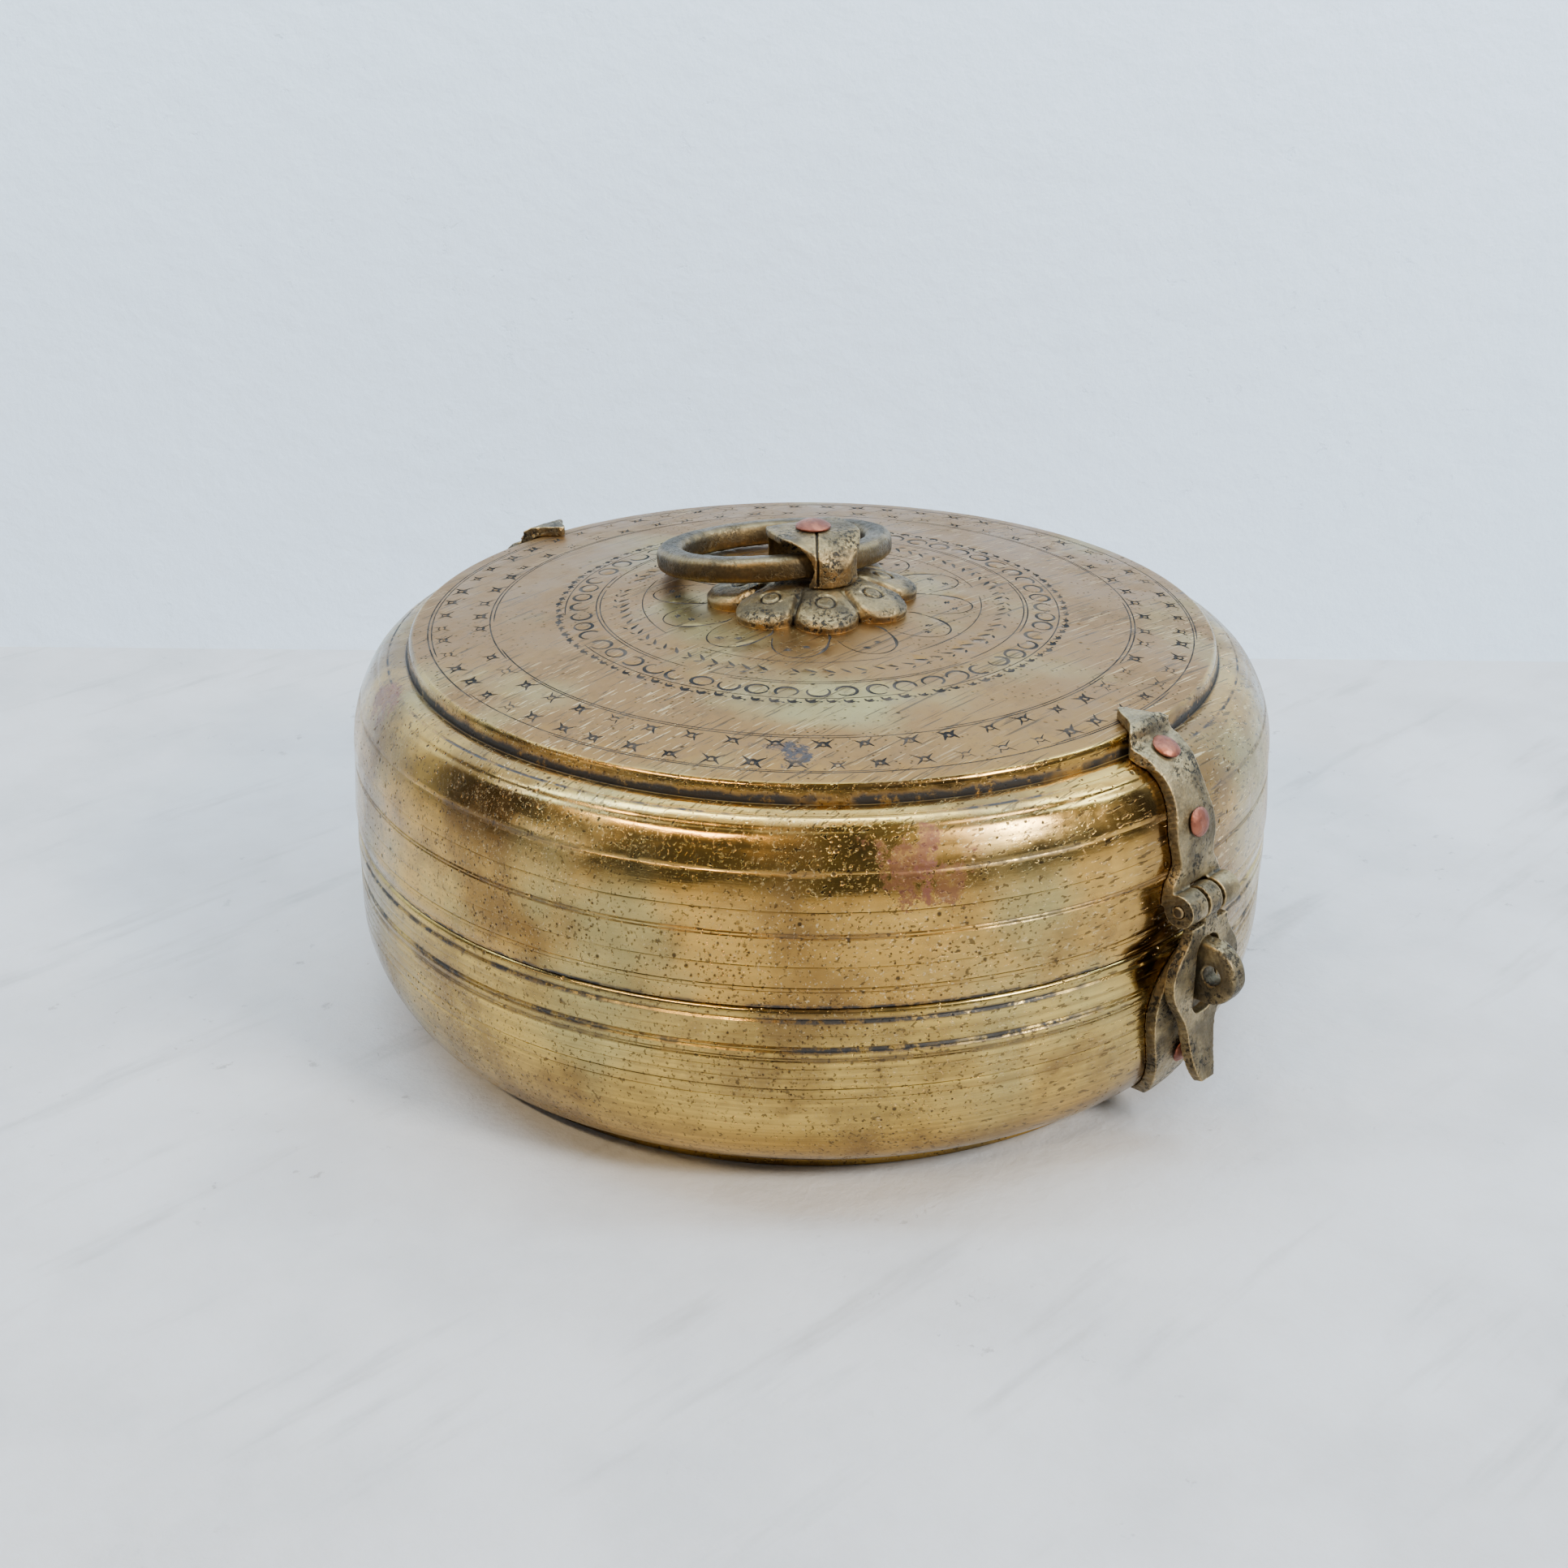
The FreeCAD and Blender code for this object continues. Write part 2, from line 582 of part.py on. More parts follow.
def handle_rivet():
    axis = (ORIGIN, Z_AXIS)
    return rivet(axis, SADDLE_TOP_Z, DISC_Z - LID_SHEET, HANDLE_SHANK_R, HANDLE_HEAD_R, HANDLE_HEAD_H)


def turned(shape, degrees):
    moved = shape.copy()
    moved.rotate(ORIGIN, Z_AXIS, degrees)
    return moved


def to_front(shape):
    return turned(shape, FRONT_DEG)


def to_rear(shape):
    return turned(shape, REAR_DEG)


def nodes():
    lid_upper, lid_lower = lid_rivet_seats()
    return {
        "bowl_shell": bowl_shell(),
        "lid_shell": lid_shell(),
        "handle_rosette": rosette(),
        "handle_saddle": saddle(),
        "handle_ring": ring(),
        "handle_rivet": handle_rivet(),
        "hasp_lid_plate": to_front(lid_leaf(HASP_PIN_AT)),
        "hasp_rivet_upper": to_front(strap_rivet(lid_upper)),
        "hasp_rivet_lower": to_front(strap_rivet(lid_lower)),
        "hasp_pin": to_front(pin(HASP_PIN_AT)),
        "hasp_swing_plate": to_front(swing_plate()),
        "staple_plate": to_front(staple_plate()),
        "staple_eye": to_front(staple_eye()),
        "staple_rivet": to_front(strap_rivet(bulge_rivet_seat(STAPLE_RIVET_Z))),
        "hinge_lid_leaf": to_rear(lid_leaf(HINGE_PIN_AT)),
        "hinge_lid_rivet_upper": to_rear(strap_rivet(lid_upper)),
        "hinge_lid_rivet_lower": to_rear(strap_rivet(lid_lower)),
        "hinge_pin": to_rear(pin(HINGE_PIN_AT)),
        "hinge_body_leaf": to_rear(hinge_body_leaf()),
        "hinge_body_rivet_upper": to_rear(strap_rivet(bowl_wall_rivet_seat())),
        "hinge_body_rivet_lower": to_rear(strap_rivet(bulge_rivet_seat(BODY_RIVET_Z[1]))),
    }


def main():
    os.makedirs("parts", exist_ok=True)
    for name, shape in nodes().items():
        shape.exportStep("parts/" + name + ".step")


main()
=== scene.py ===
import math
import random

import bmesh
import bpy
from mathutils import Matrix, Vector, noise
from mathutils.geometry import delaunay_2d_cdt


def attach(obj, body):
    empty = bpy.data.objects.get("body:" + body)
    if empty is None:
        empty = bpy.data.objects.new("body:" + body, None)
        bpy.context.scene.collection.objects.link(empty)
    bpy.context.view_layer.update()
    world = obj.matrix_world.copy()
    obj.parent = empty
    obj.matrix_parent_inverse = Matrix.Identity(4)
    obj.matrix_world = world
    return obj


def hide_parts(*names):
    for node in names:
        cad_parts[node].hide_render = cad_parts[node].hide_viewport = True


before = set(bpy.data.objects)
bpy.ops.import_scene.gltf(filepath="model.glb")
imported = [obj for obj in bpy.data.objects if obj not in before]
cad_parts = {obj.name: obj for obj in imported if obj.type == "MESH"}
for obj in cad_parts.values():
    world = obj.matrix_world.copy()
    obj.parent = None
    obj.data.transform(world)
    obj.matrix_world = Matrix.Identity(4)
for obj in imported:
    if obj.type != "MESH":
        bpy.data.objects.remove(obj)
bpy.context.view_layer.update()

# Lengths are in millimetres until a mesh is made. The camera, the lights and the stage are in metres.
MM = 0.001
SEGMENTS = 384

# Bowl
FOOT_R = 106.0
FOOT_H = 5.0
BULGE_R = 19.0
BULGE_TOP_Z = 34.0
BOWL_R = FOOT_R + BULGE_R
BOWL_SHEET = 1.4
BOWL_TURN_Z = 50.0
BOWL_RIM_R = 124.2
BOWL_RIM_Z = 55.3
COLLAR_R = 122.2
COLLAR_TOP_Z = 60.6
# Turned lines: height, half width and depth
BOWL_LINES = [
    (31.5, 0.3, 0.12), (34.2, 0.3, 0.12), (37.0, 0.25, 0.08), (39.6, 0.25, 0.08), (41.7, 0.3, 0.16),
    (42.4, 0.3, 0.14), (44.2, 0.4, 0.28), (45.3, 0.4, 0.26), (48.6, 0.2, 0.06), (52.5, 0.5, 0.35),
]

# Lid. The shoulder is a quarter ellipse: centre radius, centre height, reach and rise
LID_RIM_R = 124.5
LID_RIM_Z = 55.6
LID_R = 124.9
LID_WIDEST_Z = 60.5
LID_SHEET = 1.3
SHOULDER = (110.0, 76.0, 14.2, 24.2)
STEP_FOOT = (108.8, 100.2)
DISC_Z = 111.6
DISC_SPHERE_R = 854.5
DISC_EDGE_R = 106.8
DISC_EDGE_Z = 104.9
LID_LINES = [
    (57.0, 0.3, 0.08), (60.2, 0.25, 0.10), (61.3, 0.25, 0.10), (66.5, 0.2, 0.05), (73.5, 0.3, 0.16),
    (74.4, 0.3, 0.16), (80.1, 0.2, 0.05), (88.6, 0.35, 0.14),
]

# Dents in the shells: none under the straps, by the foot, near the seam or inside the radius DENTED_R
STRAP_HALF_ANGLE = math.radians(9)
DENT_CLEARANCE = math.sin(STRAP_HALF_ANGLE * 1.6)
DENTED_R = 117
SEAM_BAND = (53, 62)

# Rings of engraved marks: radius and count
OUTER_STARS = (99.2, 62)
INNER_STARS = (89.5, 53)
DASHES = (68.3, 92)
LOOPS = (62.6, 53)
CHEVRONS = (51.4, 76)
LOTUS_PETALS = 12

# Scribed circles: radius, half width, depth, number of breaks and how far they wander
SCRIBED = [
    (102.9, 0.14, 0.1, 3, 0.10), (102.1, 0.12, 0.08, 4, 0.10), (86.4, 0.13, 0.1, 3, 0.10),
    (85.5, 0.13, 0.1, 4, 0.10), (66.3, 0.12, 0.1, 4, 0.08), (58.0, 0.13, 0.1, 4, 0.10),
    (57.0, 0.12, 0.1, 5, 0.10), (45.6, 0.11, 0.08, 5, 0.10),
]

# Spacing of the disc's triangles away from the cuts
DISC_RINGS = 21
DISC_RING_STEP = 4.85

# Handle
PETALS = 8
PETAL_START = math.radians(8)
PETAL_AT_R = 20.1
PETAL_R = 8.7
ROSETTE_EDGE_Z = 114.0
ROSETTE_TOP_Z = 118.6
ROSETTE_TOP_R = 12.0
RING_TURN = math.radians(72)
RING_OUTER_R = 32.5
RING_REST_Z = 110.2
BAR_W = 7.6
BAR_H = 7.0
TUNNEL_OFF = 6.6
BAR_Z = 123.3

# Camera, as seen from straight in front of the hasp and then turned round the box
CAMERA_TURN = math.radians(-47.3)
CAMERA_BACK = 0.5788
CAMERA_HEIGHT = 0.3175
CAMERA_PITCH = math.radians(24.30)
CAMERA_HEADING = math.radians(0.73)
CAMERA_ROLL = math.radians(0.29)
CAMERA_LENS = 52.17

# Stage
STAGE_REACH = 6.0
WALL_BACK = 0.247
WALL_HEIGHT = 4


# ---------------------------------------------------------------- meshes

def add_object(name, verts, faces, body, nodes, materials):
    """A mesh object from points in millimetres, declared to the frame."""
    mesh = bpy.data.meshes.new(name)
    mesh.from_pydata([(x * MM, y * MM, z * MM) for x, y, z in verts], [], faces)
    for material in materials:
        mesh.materials.append(material)
    piece = bpy.data.objects.new(name, mesh)
    bpy.context.scene.collection.objects.link(piece)
    declare(piece, body, nodes)
    return piece


def declare(piece, body, nodes):
    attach(piece, body)
    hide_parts(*nodes)


def tidy_normals(mesh, sharp_degrees):
    work = bmesh.new()
    work.from_mesh(mesh)
    bmesh.ops.recalc_face_normals(work, faces=work.faces)
    work.to_mesh(mesh)
    work.free()
    for polygon in mesh.polygons:
        polygon.use_smooth = True
    mesh.set_sharp_from_angle(angle=math.radians(sharp_degrees))


def ring_rows(profile, segments, warp):
    """Vertices of a turned profile, one row per station; a station on the axis is one vertex."""
    verts = []
    rows = []
    for r, z in profile:
        if r == 0:
            rows.append([len(verts)] * segments)
            verts.append((0.0, 0.0, z))
            continue
        rows.append(list(range(len(verts), len(verts) + segments)))
        for i in range(segments):
            angle = 2 * math.pi * i / segments
            bent = r - warp(angle, r, z)
            verts.append((bent * math.cos(angle), bent * math.sin(angle), z))
    return verts, rows


def row_faces(rows):
    faces = []
    for upper, lower in zip(rows, rows[1:]):
        count = len(upper)
        for i in range(count):
            j = (i + 1) % count
            corners = [upper[i], upper[j], lower[j], lower[i]]
            faces.append(list(dict.fromkeys(corners)))
    return faces


def dent(angle, r, z):
    """How far the beaten sheet is pushed in here: gentle, and nothing at the straps, foot and rim."""
    from_strap = abs(math.cos(angle)) - DENT_CLEARANCE
    if from_strap < 0 or z < 6 or SEAM_BAND[0] < z < SEAM_BAND[1] or r < DENTED_R:
        return 0.0
    place = Vector((r * math.cos(angle), r * math.sin(angle), z * 1.3))
    broad = noise.noise(place * 0.022)
    close = noise.noise(place * 0.06 + Vector((9, 4, 1)))
    edge = min(1.0, from_strap * 8)
    height = min(1.0, abs(z - sum(SEAM_BAND) / 2) / 12 - 0.3)
    outer = min(1.0, (r - DENTED_R) / 3)
    return max(0.0, 0.30 + 0.45 * broad + 0.16 * close) * edge * max(0.0, height) * outer


def grooved_wall(radius_at, z_from, z_to, lines, step):
    """Stations up a wall, each turned line being a small V cut into it."""
    stations = {}
    count = max(2, round(abs(z_to - z_from) / step))
    for i in range(count + 1):
        z = z_from + (z_to - z_from) * i / count
        if all(abs(z - line_z) > half + 0.15 for line_z, half, _ in lines):
            stations[z] = radius_at(z)
    for line_z, half, depth in lines:
        stations[line_z - half] = radius_at(line_z - half)
        stations[line_z] = radius_at(line_z) - depth
        stations[line_z + half] = radius_at(line_z + half)
    return [(stations[z], z) for z in sorted(stations, reverse=z_to < z_from)]


def bowl_radius(z):
    """Outer radius of the bowl above its foot: the bulge, a straight wall, and a wall leaning in."""
    if z < BULGE_TOP_Z:
        share = min(1.0, (BULGE_TOP_Z - z) / (BULGE_TOP_Z - FOOT_H))
        return FOOT_R + BULGE_R * math.sqrt(1 - share * share)
    share = max(0.0, (z - BOWL_TURN_Z) / (BOWL_RIM_Z - BOWL_TURN_Z))
    return BOWL_R - (BOWL_R - BOWL_RIM_R - 0.4) * share


def bulge_arc(growth, count):
    """Stations of the bulge from its foot up to the wall."""
    fall = BULGE_TOP_Z - FOOT_H + growth
    stations = []
    for i in range(count + 1):
        turn = math.pi / 2 * i / count
        r = FOOT_R + (BULGE_R + growth) * math.sin(turn)
        stations.append((r, BULGE_TOP_Z - fall * math.cos(turn)))
    return stations


def lid_radius(z):
    """Outer radius of the lid: the shoulder, a flank widening downwards, and a rim leaning in."""
    centre_r, centre_z, reach, rise = SHOULDER
    if z > centre_z:
        return centre_r + reach * math.sqrt(max(0.0, 1 - ((z - centre_z) / rise) ** 2))
    if z > LID_WIDEST_Z:
        share = (centre_z - z) / (centre_z - LID_WIDEST_Z)
        return centre_r + reach + (LID_R - centre_r - reach) * share
    return LID_R - (LID_R - LID_RIM_R) * (LID_WIDEST_Z - z) / (LID_WIDEST_Z - LID_RIM_Z)


def shoulder_crown(z_low, count, growth=0.0):
    """Stations of the shoulder from its ledge down to the height z_low."""
    centre_r, centre_z, reach, rise = SHOULDER
    last = math.acos((z_low - centre_z) / (rise + growth))
    stations = []
    for i in range(count + 1):
        turn = last * i / count
        r = centre_r + (reach + growth) * math.sin(turn)
        stations.append((r - crown_groove(r), centre_z + (rise + growth) * math.cos(turn)))
    return stations


def crown_groove(r):
    """A scribed line and a soft lip turned in the top of the shoulder."""
    line = 0.16 * math.exp(-((r - 113.8) / 0.16) ** 2)
    lip = 0.22 * math.exp(-((r - 116.9) / 0.55) ** 2)
    return line + lip


def bowl_profile():
    profile = [(0, 0), (60, 0), (FOOT_R - 1.2, 0), (FOOT_R - 0.4, 0.35), (FOOT_R, 1.2), (FOOT_R, 2.8)]
    profile += [(FOOT_R - 0.25, FOOT_H - 0.6), (FOOT_R - 0.1, FOOT_H)]
    start = BOWL_LINES[0][0] - 1.0
    profile += [place for place in bulge_arc(0, 30)[1:] if place[1] < start]
    profile += grooved_wall(bowl_radius, start, BOWL_RIM_Z - 0.7, BOWL_LINES, 1.0)
    profile += [(BOWL_RIM_R + 0.2, BOWL_RIM_Z - 0.25), (BOWL_RIM_R - 0.2, BOWL_RIM_Z)]
    profile += [(COLLAR_R, BOWL_RIM_Z), (COLLAR_R, COLLAR_TOP_Z - 0.5)]
    profile += [(COLLAR_R - 0.35, COLLAR_TOP_Z), (COLLAR_R - 0.9, COLLAR_TOP_Z)]
    profile += [(COLLAR_R - 1.2, COLLAR_TOP_Z - 0.4), (COLLAR_R - 1.2, BOWL_RIM_Z - 1)]
    profile += [(BOWL_R - BOWL_SHEET, BOWL_RIM_Z - 3)]
    profile += bulge_arc(-BOWL_SHEET, 14)[::-1]
    profile += [(FOOT_R - BOWL_SHEET, FOOT_H), (FOOT_R - BOWL_SHEET, BOWL_SHEET + 1)]
    profile += [(FOOT_R - BOWL_SHEET - 1, BOWL_SHEET), (52, BOWL_SHEET), (0, BOWL_SHEET)]
    return profile


def lid_profile():
    """From the edge of the engraved disc, out and down the wall, and back up inside to the axis."""
    foot_r, foot_z = STEP_FOOT
    profile = [(DISC_EDGE_R, DISC_EDGE_Z), (DISC_EDGE_R + 0.5, 104.75), (DISC_EDGE_R + 0.95, 104.35)]
    profile += [(DISC_EDGE_R + 1.2, 103.85), (DISC_EDGE_R + 1.3, 103.3), (foot_r - 0.35, 102.0)]
    profile += [(foot_r - 0.1, 100.8), (foot_r - 0.15, foot_z - 0.1), (foot_r + 0.2, foot_z - 0.05)]
    profile += shoulder_crown(93.0, 44)
    profile += grooved_wall(lid_radius, 92.6, LID_RIM_Z + 0.6, LID_LINES, 1.2)
    profile += [(LID_RIM_R - 0.1, LID_RIM_Z + 0.25), (LID_RIM_R - 0.4, LID_RIM_Z)]
    profile += [(LID_RIM_R - LID_SHEET + 0.3, LID_RIM_Z), (LID_RIM_R - LID_SHEET, LID_RIM_Z + 0.3)]
    profile += [(LID_R - LID_SHEET, LID_WIDEST_Z)]
    profile += shoulder_crown(SHOULDER[1], 14, -LID_SHEET)[::-1]
    profile += [(foot_r - LID_SHEET, foot_z - LID_SHEET), (DISC_EDGE_R - 0.1, DISC_EDGE_Z - 1.9)]
    for r in (DISC_EDGE_R - 0.9, 85, 60, 30):
        profile.append((r, disc_height(r) - LID_SHEET))
    profile.append((0, DISC_Z - LID_SHEET))
    return profile


def disc_height(r):
    """Height of the domed top of the lid."""
    return DISC_Z - DISC_SPHERE_R + math.sqrt(DISC_SPHERE_R ** 2 - r ** 2)


# ---------------------------------------------------------------- engraving

class Cuts:
    """Hand-cut strokes in the disc. Each is a V-shaped groove along a line of points.

    CELL is the size of the squares that the strokes are sorted into. Every half width is multiplied
    by BROAD.
    """

    CELL = 4.0
    BROAD = 1.5

    def __init__(self, seed):
        self.chance = random.Random(seed)
        self.strokes = []
        self.cells = {}

    def stroke(self, points, halves, depth, closed=False):
        halves = [half * self.BROAD for half in halves]
        self.strokes.append((points, halves, closed))
        count = len(points)
        for i in range(count if closed else count - 1):
            j = (i + 1) % count
            self.note_piece(points[i], points[j], halves[i], halves[j], depth)

    def note_piece(self, a, b, half_a, half_b, depth):
        reach = max(half_a, half_b)
        low_x = math.floor((min(a[0], b[0]) - reach) / self.CELL)
        high_x = math.floor((max(a[0], b[0]) + reach) / self.CELL)
        low_y = math.floor((min(a[1], b[1]) - reach) / self.CELL)
        high_y = math.floor((max(a[1], b[1]) + reach) / self.CELL)
        for i in range(low_x, high_x + 1):
            for j in range(low_y, high_y + 1):
                self.cells.setdefault((i, j), []).append((a, b, half_a, half_b, depth))

    def depth_at(self, x, y):
        deepest = 0.0
        cell = (math.floor(x / self.CELL), math.floor(y / self.CELL))
        for a, b, half_a, half_b, depth in self.cells.get(cell, ()):
            run_x = b[0] - a[0]
            run_y = b[1] - a[1]
            length = run_x * run_x + run_y * run_y
            share = ((x - a[0]) * run_x + (y - a[1]) * run_y) / length
            share = min(1.0, max(0.0, share))
            off = math.hypot(x - a[0] - share * run_x, y - a[1] - share * run_y)
            half = half_a + (half_b - half_a) * share
            if off < half:
                deepest = max(deepest, depth * (1 - off / half))
        return deepest

    def outlines(self):
        """Points and edges that the disc's triangles have to follow."""
        points = []
        edges = []
        for line, halves, closed in self.strokes:
            left, right = sides_of(line, halves, closed)
            first = len(points)
            count = len(line)
            if closed:
                points += left + line + right
                for row in range(3):
                    base = first + row * count
                    edges += [(base + i, base + (i + 1) % count) for i in range(count)]
            else:
                loop = left + right[::-1]
                points += loop + line[1:-1]
                total = len(loop)
                edges += [(first + i, first + (i + 1) % total) for i in range(total)]
                base = first + total
                edges += [(base + i, base + i + 1) for i in range(count - 3)]
        return points, edges


def sides_of(line, halves, closed):
    left = []
    right = []
    count = len(line)
    for i, (x, y) in enumerate(line):
        before = line[(i - 1) % count] if closed or i else line[0]
        after = line[(i + 1) % count] if closed or i < count - 1 else line[-1]
        run = Vector((after[0] - before[0], after[1] - before[1])).normalized()
        left.append((x - run.y * halves[i], y + run.x * halves[i]))
        right.append((x + run.y * halves[i], y - run.x * halves[i]))
    return left, right


def spot(angle, radius, across, inwards):
    """A point given by steps along and towards the middle of the disc from a place on a ring."""
    reach = radius - inwards
    return (
        reach * math.cos(angle) - across * math.sin(angle),
        reach * math.sin(angle) + across * math.cos(angle),
    )


def curved(start, middle, end, count):
    """Points of a quadratic curve in local steps."""
    points = []
    for i in range(count + 1):
        t = i / count
        points.append(tuple(
            (1 - t) ** 2 * a + 2 * t * (1 - t) * b + t * t * c for a, b, c in zip(start, middle, end)
        ))
    return points


def cut_local(cuts, angle, radius, points, halves, depth, turn=0.0, size=1.0):
    cos_t = math.cos(turn)
    sin_t = math.sin(turn)
    line = []
    for across, inwards in points:
        u = size * (across * cos_t - inwards * sin_t)
        v = size * (across * sin_t + inwards * cos_t)
        line.append(spot(angle, radius, u, v))
    cuts.stroke(line, [half * size for half in halves], depth)


def taper(count, widest, tip, peak=0.0):
    """Half widths along a stroke, widest at the share peak of its length."""
    halves = []
    for i in range(count + 1):
        t = i / count
        away = abs(t - peak) / max(peak, 1 - peak)
        halves.append(tip + (widest - tip) * (1 - away) ** 0.8)
    return halves


def star(cuts, angle, radius):
    """A punched four-whisker star round a small boss."""
    pick = cuts.chance
    turn = pick.uniform(-0.16, 0.16)
    size = pick.uniform(0.84, 1.12)
    weight = pick.choice((1.0, 1.0, 0.85, 0.7, 0.45))
    depth = 0.3 * weight
    for side in (-1, 1):
        long_way = pick.uniform(0.75, 1.2)
        tip = (side * 2.5 * long_way, 2.3 * long_way)
        line = curved((side * 0.75, 0.55), (side * 1.05, 1.0), tip, 4)
        cut_local(cuts, angle, radius, line, taper(4, 0.42 * weight, 0.06), depth, turn, size)
        tip = (side * 2.1 * long_way, -1.9)
        line = curved((side * 0.95, -0.25), (side * 1.2, -0.7), tip, 4)
        cut_local(cuts, angle, radius, line, taper(4, 0.36 * weight, 0.06), depth, turn, size)
    for start, end, half in ((15, 165, 0.34), (195, 345, 0.16)):
        arc = []
        for i in range(7):
            bend = math.radians(start + (end - start) * i / 6)
            arc.append((1.12 * math.cos(bend), 0.1 + 0.95 * math.sin(bend)))
        cut_local(cuts, angle, radius, arc, taper(6, half * weight + 0.05, 0.08, 0.5), depth, turn, size)


def dash_mark(cuts, angle, radius):
    """One wedge of the punched chain, with its barbs."""
    pick = cuts.chance
    size = pick.uniform(0.85, 1.15)
    turn = pick.uniform(-0.25, 0.1)
    strokes = (
        ([(-1.3, 0.1), (-0.4, -0.1), (0.5, 0.0), (1.3, 0.25)], [0.16, 0.5, 0.42, 0.1], 0.3),
        ([(0.1, 0.3), (0.35, 0.75), (0.75, 1.15)], [0.3, 0.24, 0.08], 0.22),
        ([(-1.2, 0.35), (-1.35, 0.8), (-1.7, 1.1)], [0.22, 0.2, 0.07], 0.2),
        ([(1.75, -0.1), (2.05, 0.0), (2.3, 0.15)], [0.18, 0.24, 0.08], 0.2),
    )
    for points, halves, depth in strokes:
        cut_local(cuts, angle, radius, points, halves, depth, turn, size)


def loop_mark(cuts, angle, radius):
    """A shallow ring, often left open on one side."""
    pick = cuts.chance
    start = pick.uniform(0, 2 * math.pi)
    whole = pick.random() < 0.35
    span = 2 * math.pi * (0.97 if whole else pick.uniform(0.62, 0.9))
    wide = pick.uniform(2.6, 2.95)
    tall = pick.uniform(2.35, 2.7)
    arc = []
    for i in range(19):
        bend = start + span * i / 18
        arc.append((wide * math.cos(bend), tall * math.sin(bend)))
    cut_local(cuts, angle, radius, arc, taper(18, 0.36, 0.12, pick.uniform(0.35, 0.65)), 0.16)


def chevron(cuts, angle, radius):
    """One pair of the herringbone: a long stroke inside and a short one outside."""
    pick = cuts.chance
    size = pick.uniform(0.85, 1.15)
    turn = pick.uniform(-0.15, 0.15)
    line = [(1.5, -0.6), (0.6, 0.1), (-0.5, 1.1), (-1.4, 1.9)]
    cut_local(cuts, angle, radius, line, [0.12, 0.34, 0.22, 0.07], 0.22, turn, size)
    if pick.random() < 0.85:
        line = [(1.1, -1.3), (0.3, -1.8), (-0.6, -2.2)]
        cut_local(cuts, angle, radius, line, [0.1, 0.26, 0.08], 0.18, turn, size)


def lotus_petal(cuts, angle, half_angle):
    """The outline of one big petal round the rosette, in a few unequal strokes."""
    pick = cuts.chance
    outer = pick.uniform(42.4, 43.8)

    def edge(share):
        radius = outer - 8.5 * abs(share) ** 2.0 - 4.5 * abs(share) ** 6
        return radius, angle + half_angle * share

    spans = ((-0.95, -0.12, 0.16), (-0.2, 0.6, 0.2), (0.5, 1.02, 0.34))
    for start, end, half in spans:
        line = []
        for i in range(8):
            radius, turn = edge(start + (end - start) * i / 7)
            line.append((radius * math.cos(turn), radius * math.sin(turn)))
        cuts.stroke(line, taper(7, half, 0.06, pick.uniform(0.3, 0.7)), 0.2)
    hook = curved((half_angle * 0.97, 31.2), (half_angle * 1.1, 28.9), (half_angle * 0.92, 26.6), 4)
    line = [(r * math.cos(angle + turn), r * math.sin(angle + turn)) for turn, r in hook]
    cuts.stroke(line, taper(4, 0.3, 0.06, 0.3), 0.22)
    for across, inwards in ((-2.4, 4.2), (1.9, 6.5)):
        for row in (0.0, 0.75):
            start = across + pick.uniform(-0.4, 0.4)
            deep = inwards + row
            line = [(start - 1.0, deep), (start, deep + 0.12), (start + 1.0, deep)]
            cut_local(cuts, angle, outer, line, [0.1, 0.3, 0.1], 0.2)


def thin_ring(cuts, radius, half, depth, breaks, wander):
    """A scribed circle that fades out here and there."""
    pick = cuts.chance
    start = pick.uniform(0, 2 * math.pi)
    spans = max(1, breaks)
    for part in range(spans):
        begin = start + 2 * math.pi * part / spans
        end = begin + 2 * math.pi / spans * (pick.uniform(0.72, 0.97) if breaks else 0.995)
        count = max(12, int((end - begin) * 30))
        drift = pick.uniform(-wander, wander)
        line = []
        for i in range(count + 1):
            angle = begin + (end - begin) * i / count
            reach = radius + drift + wander * math.sin(3 * angle + part)
            line.append((reach * math.cos(angle), reach * math.sin(angle)))
        halves = [half] * (count + 1)
        halves[0] = halves[-1] = 0.05
        cuts.stroke(line, halves, depth)


def ring_of(mark, cuts, radius, count, unevenness, skip=0.0):
    """Repeat a mark round a ring, not quite evenly."""
    for i in range(count):
        angle = 2 * math.pi * (i + cuts.chance.uniform(-unevenness, unevenness)) / count
        if cuts.chance.random() >= skip:
            mark(cuts, angle, radius + cuts.chance.uniform(-0.35, 0.35))


def cut_disc():
    cuts = Cuts(11)
    ring_of(star, cuts, *OUTER_STARS, 0.07, 0.02)
    ring_of(star, cuts, *INNER_STARS, 0.09, 0.06)
    ring_of(dash_mark, cuts, *DASHES, 0.06)
    ring_of(loop_mark, cuts, *LOOPS, 0.05)
    ring_of(chevron, cuts, *CHEVRONS, 0.08, 0.03)
    half_angle = math.pi / LOTUS_PETALS * 0.93
    for i in range(LOTUS_PETALS):
        lotus_petal(cuts, 2 * math.pi * (i + 0.25) / LOTUS_PETALS, half_angle)
    for radius, half, depth, breaks, wander in SCRIBED:
        thin_ring(cuts, radius, half, depth, breaks, wander)
    return cuts


